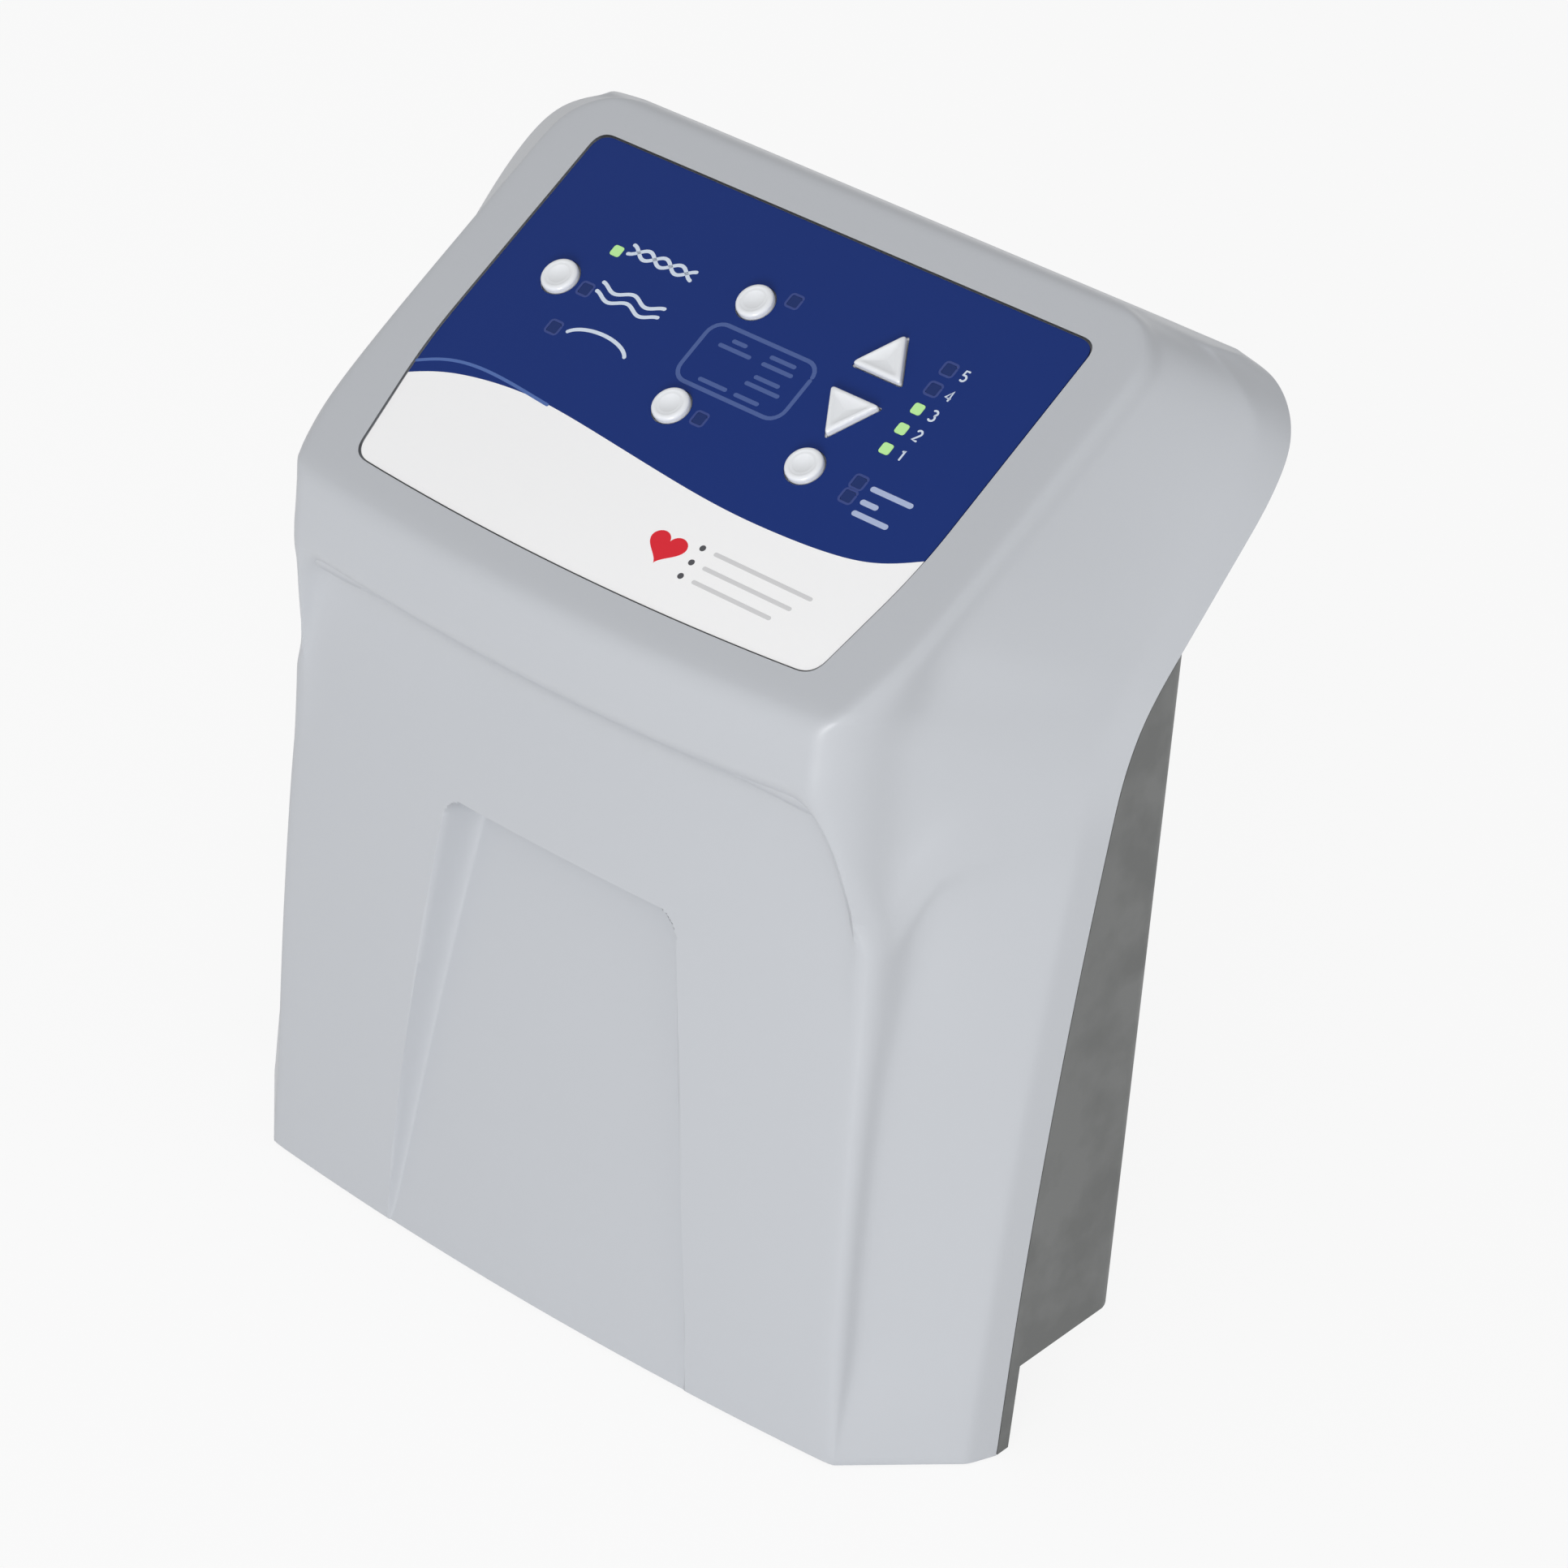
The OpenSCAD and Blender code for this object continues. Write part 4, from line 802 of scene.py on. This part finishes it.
def arrow_cap(name, at, way):
    """Triangular cap: rings of the triangle up its skirt, over a round rim and into a dish."""
    steps = [(ARROW_LEDGE, CAP_FOOT), (ARROW_LEDGE, LEDGE_SIDE), (0, LEDGE_TOP), (0, SKIRT_TOP)]
    a = np.radians(np.linspace(0, 125, 12))
    steps += [(ARROW_RIM * (math.cos(t) - 1), RIM_TOP + ARROW_RIM * (math.sin(t) - 1)) for t in a]
    rings = [on_panel(*triangle_outline(at, grow, way).T, h) for grow, h in steps]
    rim_grow, rim_h = steps[-1]
    rim = triangle_outline(at, rim_grow, way)
    for share in (0.85, 0.7, 0.55, 0.4, 0.25, 0.1, 0.02):
        h = rim_h - 0.05 - DISH_DEPTH * 0.9 * (1 - share ** 2)
        rings.append(on_panel(*(at + (rim - at) * share).T, h))
    rings = np.stack(rings)
    n = rings.shape[1]
    faces = grid_faces(len(rings), n, closed=True).tolist()
    faces += [list(range(n))[::-1], list(range((len(rings) - 1) * n, len(rings) * n))]
    return finish_cap(add_mesh(name + "_cap", rings.reshape(-1, 3), faces), name + "_button")


# Prints lie this far into the film's top and out of it
PRINT_H = 0.03


def strokes(name, lines, width):
    """Printed lines on the film, each a flat band along its points that rounds off at both ends."""
    points, faces = [], []
    for line in lines:
        line = np.asarray(line, float)
        run = np.concatenate([[0], np.cumsum(np.linalg.norm(np.diff(line, axis=0), axis=-1))])
        r = width / 2
        cap = r * (1 - np.cos(np.linspace(0, math.pi / 2, 6)))
        at = np.unique(np.concatenate([cap, run[(run > r) & (run < run[-1] - r)], run[-1] - cap]))
        path = np.stack([np.interp(at, run, line[:, 0]), np.interp(at, run, line[:, 1])], -1)
        near_end = np.maximum(0, r - np.minimum(at, run[-1] - at))
        half = np.sqrt(np.maximum(0.0004, r * r - near_end ** 2))
        along = unit(np.gradient(path, axis=0))
        side = np.stack([-along[:, 1], along[:, 0]], -1) * half[:, None]
        top, low = FILM_TOP + PRINT_H, FILM_TOP - PRINT_H
        ring = [(path + side, top), (path - side, top), (path - side, low), (path + side, low)]
        base = sum(len(p) for p in points)
        points.append(np.stack([on_panel(*q.T, h) for q, h in ring], axis=1).reshape(-1, 3))
        n = len(at)
        faces.append(grid_faces(n, 4, base, closed=True).tolist())
        faces.append([[base, base + 1, base + 2, base + 3], [base + 4 * n - k for k in (1, 2, 3, 4)]])
    piece = add_mesh(name, np.concatenate(points), sum(faces, []), smooth=False)
    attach(piece, HOUSING)
    return piece


def wave_strand(at, length, height, pitch, start=0.0, n=60):
    """Sine line through a place: v = height times sin of the run over the pitch."""
    u = np.linspace(-length / 2, length / 2, n)
    return np.stack([at[0] + u, at[1] + height * np.sin((u + start) * 2 * math.pi / pitch)], -1)


def bar(u0, u1, v):
    return [[u0, v], [u1, v]]


def arc_line(at, half, rise, n=30):
    """Arch between two ends, with its top rise above them: an ellipse's upper part."""
    end = math.radians(12)
    a = np.linspace(math.pi - end, end, n)
    low = math.sin(end)
    return np.stack([at[0] + half * np.cos(a) / math.cos(end),
                     at[1] + rise * (np.sin(a) - low) / (1 - low)], -1)


def digit(kind, at, size=3.4):
    """Strokes of one numeral in a box 0.55 wide and 1 high, set round a place."""
    def bowl(x, y, rx, ry, start, end):
        t = np.radians(np.linspace(start, end, 14))
        return np.stack([x + rx * np.cos(t), y + ry * np.sin(t)], -1)

    lines = {
        1: [[[0.08, 0.80], [0.3, 1.0], [0.3, 0.0]]],
        2: [np.concatenate([bowl(0.27, 0.74, 0.25, 0.26, 165, -35), [[0.02, 0.0], [0.54, 0.0]]])],
        3: [bowl(0.24, 0.77, 0.25, 0.23, 150, -80), bowl(0.24, 0.27, 0.28, 0.27, 80, -150)],
        4: [[[0.42, 0.0], [0.42, 1.0], [0.0, 0.3], [0.56, 0.3]]],
        5: [np.concatenate([[[0.5, 1.0], [0.1, 1.0], [0.05, 0.52]],
                            bowl(0.24, 0.30, 0.26, 0.28, 150, -140)[2:]])],
    }[kind]
    return [(np.asarray(line) - [0.28, 0.5]) * size + at for line in lines]


def heart_outline(at, w, h, n=60):
    """Heart: u = 16 sin^3 t and v = 13 cos t - 5 cos 2t - 2 cos 3t - cos 4t, which is 32 wide, 29.1 high and
    2.55 low, brought to the width and height."""
    t = np.linspace(0, 2 * math.pi, n, endpoint=False)
    u = 16 * np.sin(t) ** 3
    v = 13 * np.cos(t) - 5 * np.cos(2 * t) - 2 * np.cos(3 * t) - np.cos(4 * t)
    return np.stack([u * w / 32, (v + 2.55) * h / 29.1], -1)[::-1] + at


def ring_line(at, w, h, r):
    """Closed round-cornered frame as a line."""
    outline = box_outline(at, w, h, r)
    return np.concatenate([outline, outline[:1]])


# The thin line beside the wave's left end, the heart, and the rows of dots and bars beside it
SWOOSH = [[-89.4, -86.4], [-82, -82.2], [-72, -80.1], [-60, -80.3], [-50, -81.2], [-42, -81.9]]
HEART_AT, HEART_W, HEART_H = (20.4, -105.2), 12.4, 10.0
NOTE_ENDS = {-100.3: 69.4, -105.3: 66.0, -110.1: 62.6}
TABLE_BARS = [(-6.4, -1.0, -41.8), (-9.4, 2.4, -44.4), (7.2, 16.6, -41.6), (6.4, 17.6, -44.4),
              (7.2, 16.4, -48.8), (6.0, 18.4, -51.5), (-7.4, 3.0, -56.0), (5.6, 14.6, -56.0)]


def prints():
    """The film's prints, by their colours: symbols, numerals and bars, frames, the heart and its dots."""
    braid = [wave_strand((-43.0, -29.1), 24.4, turn * 1.6, 12.0, start=2.8) for turn in (1, -1)]
    waves = [wave_strand((-43.3, v), 24.0, 1.0, 11.8, start=3.0) for v in (-42.5, -45.7)]
    pale = strokes("print_symbols", braid + waves + [arc_line((-42.8, -60.0), 11.0, 3.9)], 1.15)
    numerals = sum([digit(5 - i, (62.8, v)) for i, v in enumerate(LEVEL_V)], [])
    numbers = strokes("print_numerals", numerals, 0.62)
    bars = [bar(61.5, end, v) for end, v in ((76.2, -64.4), (67.6, -69.0), (74.0, -72.8))]
    lines = strokes("print_bars", bars, 1.7)
    frames = strokes("print_frames", [ring_line(at, 4.3, 4.3, 1.0) for at in UNLIT], 0.7)
    border = ring_line((3.85, -48.4), 38.4, 20.4, 4.6)
    table = strokes("print_table", [border] + [bar(*ends) for ends in TABLE_BARS], 1.3)
    swoosh = strokes("print_swoosh", [spline_line(SWOOSH, 50)], 1.0)
    flat = FILM_TOP - PRINT_H, FILM_TOP + PRINT_H
    heart = flat_piece("print_heart", [heart_outline(HEART_AT, HEART_W, HEART_H)], *flat)
    dots = flat_piece("print_dots", [circle((30.4, v), 0.95, 20) for v in NOTE_ENDS], *flat)
    notes = strokes("print_notes", [bar(34.5, end, v) for v, end in NOTE_ENDS.items()], 1.3)
    return dict(pale=[pale, numbers], bars=[lines], frames=[frames], table=[table], swoosh=[swoosh],
                heart=[heart], dots=[dots], notes=[notes])


def lamps(name, places, top):
    return flat_piece(name, [box_outline(at, LAMP_W, LAMP_W, 0.8) for at in places], LAMP_FOOT, top)


front = front_cover()
blue, white = film()
caps = [round_cap(name, at) for name, at in ROUND_AT.items()]
caps += [arrow_cap(name, at, way) for name, (at, way) in ARROW_AT.items()]
lit = lamps("lamps_lit", LIT, FILM_TOP + 0.02)
unlit = lamps("lamps_unlit", UNLIT, FILM_TOP - 0.02)
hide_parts("lamps")
printed = prints()


# Shader nodes

def put(tree, kind, attrs=None, **inputs):
    """Adds a node, sets its attributes, and sets or links its inputs. An input is named with _ for a space,
    or by _ and its number."""
    made = tree.nodes.new("ShaderNode" + kind)
    for key, value in (attrs or {}).items():
        setattr(made, key, value)
    for key, value in inputs.items():
        socket = made.inputs[int(key[1:]) if key[1:].isdigit() else key.replace("_", " ")]
        if isinstance(value, bpy.types.NodeSocket):
            tree.links.new(value, socket)
        else:
            socket.default_value = value
    return made


def maths(tree, operation, *values):
    """Result of a maths node on its values or sockets."""
    inputs = {f"_{i}": value for i, value in enumerate(values)}
    return put(tree, "Math", {"operation": operation}, **inputs).outputs[0]


def noise(tree, size, **more):
    """Noise over the object's own coordinates."""
    place = put(tree, "TexCoord").outputs["Object"]
    return put(tree, "TexNoise", Vector=place, Scale=size, **more).outputs["Fac"]


def node_group(name, inputs, outputs):
    """New shader node group whose sockets are numbers, its input node and its output node."""
    tree = bpy.data.node_groups.new(name, "ShaderNodeTree")
    for key, value in inputs.items():
        tree.interface.new_socket(key, in_out="INPUT", socket_type="NodeSocketFloat").default_value = value
    for key in outputs:
        tree.interface.new_socket(key, in_out="OUTPUT", socket_type="NodeSocketFloat")
    return tree, tree.nodes.new("NodeGroupInput"), tree.nodes.new("NodeGroupOutput")


def moulded_grain_group():
    """Fine even texture of a moulded skin: two sizes of noise give its height, the finer one its speckle."""
    tree, given, out = node_group("moulded_grain", {"Size": 1400.0}, ["Height", "Speckle"])
    fine = noise(tree, given.outputs["Size"], Detail=2.0, Roughness=0.6)
    broad = noise(tree, maths(tree, "MULTIPLY", given.outputs["Size"], 0.23), Detail=1.0)
    tree.links.new(maths(tree, "MULTIPLY_ADD", broad, 0.4, fine), out.inputs["Height"])
    tree.links.new(fine, out.inputs["Speckle"])
    return tree


def cloudiness_group():
    """Slow change of tone across a large moulding, from 0 to 1 about a middle of 0.5."""
    tree, given, out = node_group("cloudiness", {"Size": 9.0}, ["Tone"])
    tree.links.new(noise(tree, given.outputs["Size"], Detail=3.0), out.inputs["Tone"])
    return tree


def edge_wear_group():
    """Mask of edges that hands and cloths have polished: pointed places, broken up by noise."""
    tree, given, out = node_group("edge_wear", {"Start": 0.52, "End": 0.6, "Size": 60.0}, ["Mask"])
    point = put(tree, "NewGeometry").outputs["Pointiness"]
    edge = put(tree, "MapRange", Value=point, From_Min=given.outputs["Start"],
               From_Max=given.outputs["End"]).outputs[0]
    cloud = noise(tree, given.outputs["Size"], Detail=3.0)
    broken = put(tree, "MapRange", Value=cloud, From_Min=0.35, From_Max=0.6).outputs[0]
    tree.links.new(maths(tree, "MULTIPLY", edge, broken), out.inputs["Mask"])
    return tree


GRAIN, CLOUD, WEAR = moulded_grain_group(), cloudiness_group(), edge_wear_group()


def finish_of(name, colour, rough, tone=0.04, grain=1400.0, depth=0.00002, speckle=0.08, wear=0.0,
              metal=0.0, coat=0.0, **fixed):
    """Material of one finish: its colour drifts by tone, its roughness by the speckle, grain bumps it, and
    worn edges turn paler and smoother."""
    material = bpy.data.materials.new(name)
    material.use_nodes = True
    tree = material.node_tree
    shader = tree.nodes["Principled BSDF"]
    colour = np.array(colour, float)
    clouds = put(tree, "Group", {"node_tree": CLOUD})
    low, high = (*(colour * (1 - tone)), 1), (*np.minimum(1, colour * (1 + tone)), 1)
    base = put(tree, "Mix", {"data_type": "RGBA"}, Factor=clouds.outputs["Tone"], _6=low, _7=high).outputs[2]
    texture = put(tree, "Group", {"node_tree": GRAIN}, Size=grain)
    gloss = put(tree, "MapRange", Value=texture.outputs["Speckle"], To_Min=rough - speckle / 2,
                To_Max=rough + speckle / 2).outputs[0]
    if wear:
        mask = put(tree, "Group", {"node_tree": WEAR})
        share = maths(tree, "MULTIPLY", mask.outputs["Mask"], wear)
        pale = (*np.minimum(1, colour * 1.25 + 0.03), 1)
        base = put(tree, "Mix", {"data_type": "RGBA"}, Factor=share, _6=base, _7=pale).outputs[2]
        gloss = maths(tree, "ADD", gloss, maths(tree, "MULTIPLY", share, -0.12))
    bump = put(tree, "Bump", Height=texture.outputs["Height"], Strength=0.5, Distance=depth)
    tree.links.new(base, shader.inputs["Base Color"])
    tree.links.new(gloss, shader.inputs["Roughness"])
    tree.links.new(bump.outputs["Normal"], shader.inputs["Normal"])
    shader.inputs["Metallic"].default_value = metal
    shader.inputs["Coat Weight"].default_value = coat
    for key, value in fixed.items():
        shader.inputs[key.replace("_", " ")].default_value = value
    return material


def lamp_light():
    """Lit lamp: a pale green lens that glows from within."""
    material = finish_of("lamp_lit", (0.42, 0.72, 0.3), 0.3, tone=0.1, depth=0.000005)
    shader = material.node_tree.nodes["Principled BSDF"]
    shader.inputs["Emission Color"].default_value = (0.38, 0.75, 0.22, 1)
    shader.inputs["Emission Strength"].default_value = 0.18
    return material


# A matt film reflects little
FILM_GLOSS = {"Specular_IOR_Level": 0.12}
FILM_ROUGH = 0.42
FILM_GRAIN = 2600


def ink(name, colour):
    """Printed ink: the film's own surface in another colour."""
    return finish_of(name, colour, FILM_ROUGH, tone=0.02, grain=FILM_GRAIN, depth=0.000004, speckle=0.05,
                     **FILM_GLOSS)


# The record's material slots: colour, roughness and what else differs from a plain moulding
LOOKS = {
    "light_case": ((0.49, 0.508, 0.539), 0.38, dict(tone=0.012, grain=1300, wear=0.5)),
    "dark_case": ((0.133, 0.137, 0.135), 0.55, dict(tone=0.015, grain=1100, depth=0.00003, wear=0.6)),
    "panel_film": ((0.95, 0.95, 0.955), FILM_ROUGH, dict(tone=0.01, grain=FILM_GRAIN, depth=0.000006)),
    "white_plastic": ((0.72, 0.73, 0.75), 0.42, {}),
    "button_cap": ((0.80, 0.82, 0.85), 0.24, dict(tone=0.01, depth=0.000003, speckle=0.03, coat=0.5)),
    "silicone": ((0.4, 0.42, 0.45), 0.6, {}),
    "lamp_lens": ((0.012, 0.03, 0.14), 0.3, dict(depth=0.000005, **FILM_GLOSS)),
    "circuit_board": ((0.03, 0.16, 0.07), 0.35, dict(tone=0.2)),
    "zinc_steel": ((0.6, 0.61, 0.63), 0.3, dict(metal=1.0, tone=0.1)),
    "grey_cable": ((0.35, 0.37, 0.39), 0.5, {}),
    "core_steel": ((0.35, 0.36, 0.38), 0.45, dict(metal=1.0, tone=0.2)),
    "cast_alloy": ((0.55, 0.56, 0.58), 0.5, dict(metal=1.0, depth=0.00006)),
    "dark_magnet": ((0.04, 0.04, 0.045), 0.5, {}),
    "black_rubber": ((0.028, 0.028, 0.028), 0.7, dict(tone=0.15, depth=0.00004)),
    "ivory_plastic": ((0.7, 0.66, 0.52), 0.3, {}),
    "clear_tube": ((0.6, 0.66, 0.7), 0.3, {}),
    "filter_foam": ((0.06, 0.07, 0.08), 0.9, dict(grain=500, depth=0.0006)),
    "black_plastic": ((0.022, 0.022, 0.024), 0.35, dict(tone=0.1)),
    "hook_steel": ((0.72, 0.73, 0.75), 0.14, dict(metal=1.0, depth=0.000004, speckle=0.06)),
}
FINISHES = {name: finish_of(name, colour, rough, **more) for name, (colour, rough, more) in LOOKS.items()}
BLUE_PRINT = finish_of("blue_print", (0.0065, 0.028, 0.175), FILM_ROUGH, tone=0.03, grain=FILM_GRAIN,
                       depth=0.000006, speckle=0.05, **FILM_GLOSS)
INK_COLOURS = {
    "pale": (0.66, 0.74, 0.86), "bars": (0.42, 0.49, 0.70), "frames": (0.045, 0.07, 0.24),
    "table": (0.075, 0.12, 0.32), "swoosh": (0.09, 0.16, 0.42), "heart": (0.72, 0.025, 0.04),
    "dots": (0.09, 0.09, 0.1), "notes": (0.66, 0.66, 0.67)}
INKS = {key: ink("ink_" + key, colour) for key, colour in INK_COLOURS.items()}
LIT_LAMP = lamp_light()

SLOT_OF = {part["node"]: part["material_slot"] for part in frame["record"]["subparts"]}
for node_name, item in frame["nodes"].items():
    item.data.materials.clear()
    item.data.materials.append(FINISHES[SLOT_OF[node_name]])


def paint(piece, material):
    piece.data.materials.clear()
    piece.data.materials.append(material)


paint(front, FINISHES["light_case"])
paint(blue, BLUE_PRINT)
paint(white, FINISHES["panel_film"])
paint(lit, LIT_LAMP)
paint(unlit, FINISHES["lamp_lens"])
for cap in caps:
    paint(cap, FINISHES["button_cap"])
for key, pieces in printed.items():
    for piece in pieces:
        paint(piece, INKS[key])


# Studio

def clean_rays(tree):
    """1 for camera, mirror and see-through rays, which meet a white background."""
    rays = put(tree, "LightPath").outputs
    some = maths(tree, "MAXIMUM", rays["Is Camera Ray"], rays["Is Glossy Ray"])
    return maths(tree, "MAXIMUM", some, rays["Is Transmission Ray"])


def add_world(level):
    world = bpy.data.worlds.new("studio")
    world.use_nodes = True
    tree = world.node_tree
    tree.nodes.clear()
    light = put(tree, "Background", Color=(1, 1, 1, 1), Strength=level).outputs[0]
    shown = put(tree, "Background", Color=(1, 1, 1, 1), Strength=1.0).outputs[0]
    mixed = put(tree, "MixShader", Fac=clean_rays(tree), _1=light, _2=shown).outputs[0]
    put(tree, "OutputWorld", Surface=mixed)
    bpy.context.scene.world = world


def add_floor(z, shadow, r=9.0, n=64):
    """Round pale floor. Camera rays see it mostly as plain white, and the rest keeps the shadow."""
    a = np.linspace(0, 2 * math.pi, n, endpoint=False)
    points = SEAT + np.stack([r * np.cos(a), r * np.sin(a), np.full(n, z)], -1) / MM
    floor = add_mesh("floor", points, [list(range(n))], smooth=False)
    material = bpy.data.materials.new("floor_white")
    material.use_nodes = True
    tree = material.node_tree
    tree.nodes.clear()
    matt = put(tree, "BsdfDiffuse", Color=(0.82, 0.82, 0.82, 1)).outputs[0]
    white_light = put(tree, "Emission", Strength=1.0).outputs[0]
    share = maths(tree, "MULTIPLY", clean_rays(tree), 1 - shadow)
    mixed = put(tree, "MixShader", Fac=share, _1=matt, _2=white_light).outputs[0]
    put(tree, "OutputMaterial", Surface=mixed)
    floor.data.materials.append(material)


OBJECT_MIDDLE = [0, 70, 150]


def add_area(name, at, size, watts):
    """Square soft light that faces the object."""
    data = bpy.data.lights.new(name, "AREA")
    data.size = size
    data.energy = watts
    light = bpy.data.objects.new(name, data)
    at = row(at)
    ahead = unit(row(OBJECT_MIDDLE) - at)
    right = unit(np.cross(ahead, [0, 0, 1]))
    turn = Matrix(np.column_stack([right, np.cross(right, ahead), -ahead]).tolist()).to_4x4()
    light.matrix_world = Matrix.Translation(at) @ turn
    bpy.context.scene.collection.objects.link(light)


FLOOR_GAP = 0.0005
add_world(0.585)
add_floor(cad_box[0].z - FLOOR_GAP, 0.12)
add_area("key", [900, -1900, 300], 0.8, 25)
add_area("side", [1900, -300, 300], 1.6, 2.5)
add_area("glint", [1100, -1200, 1500], 0.4, 3)

bpy.context.scene.view_settings.view_transform = "Standard"
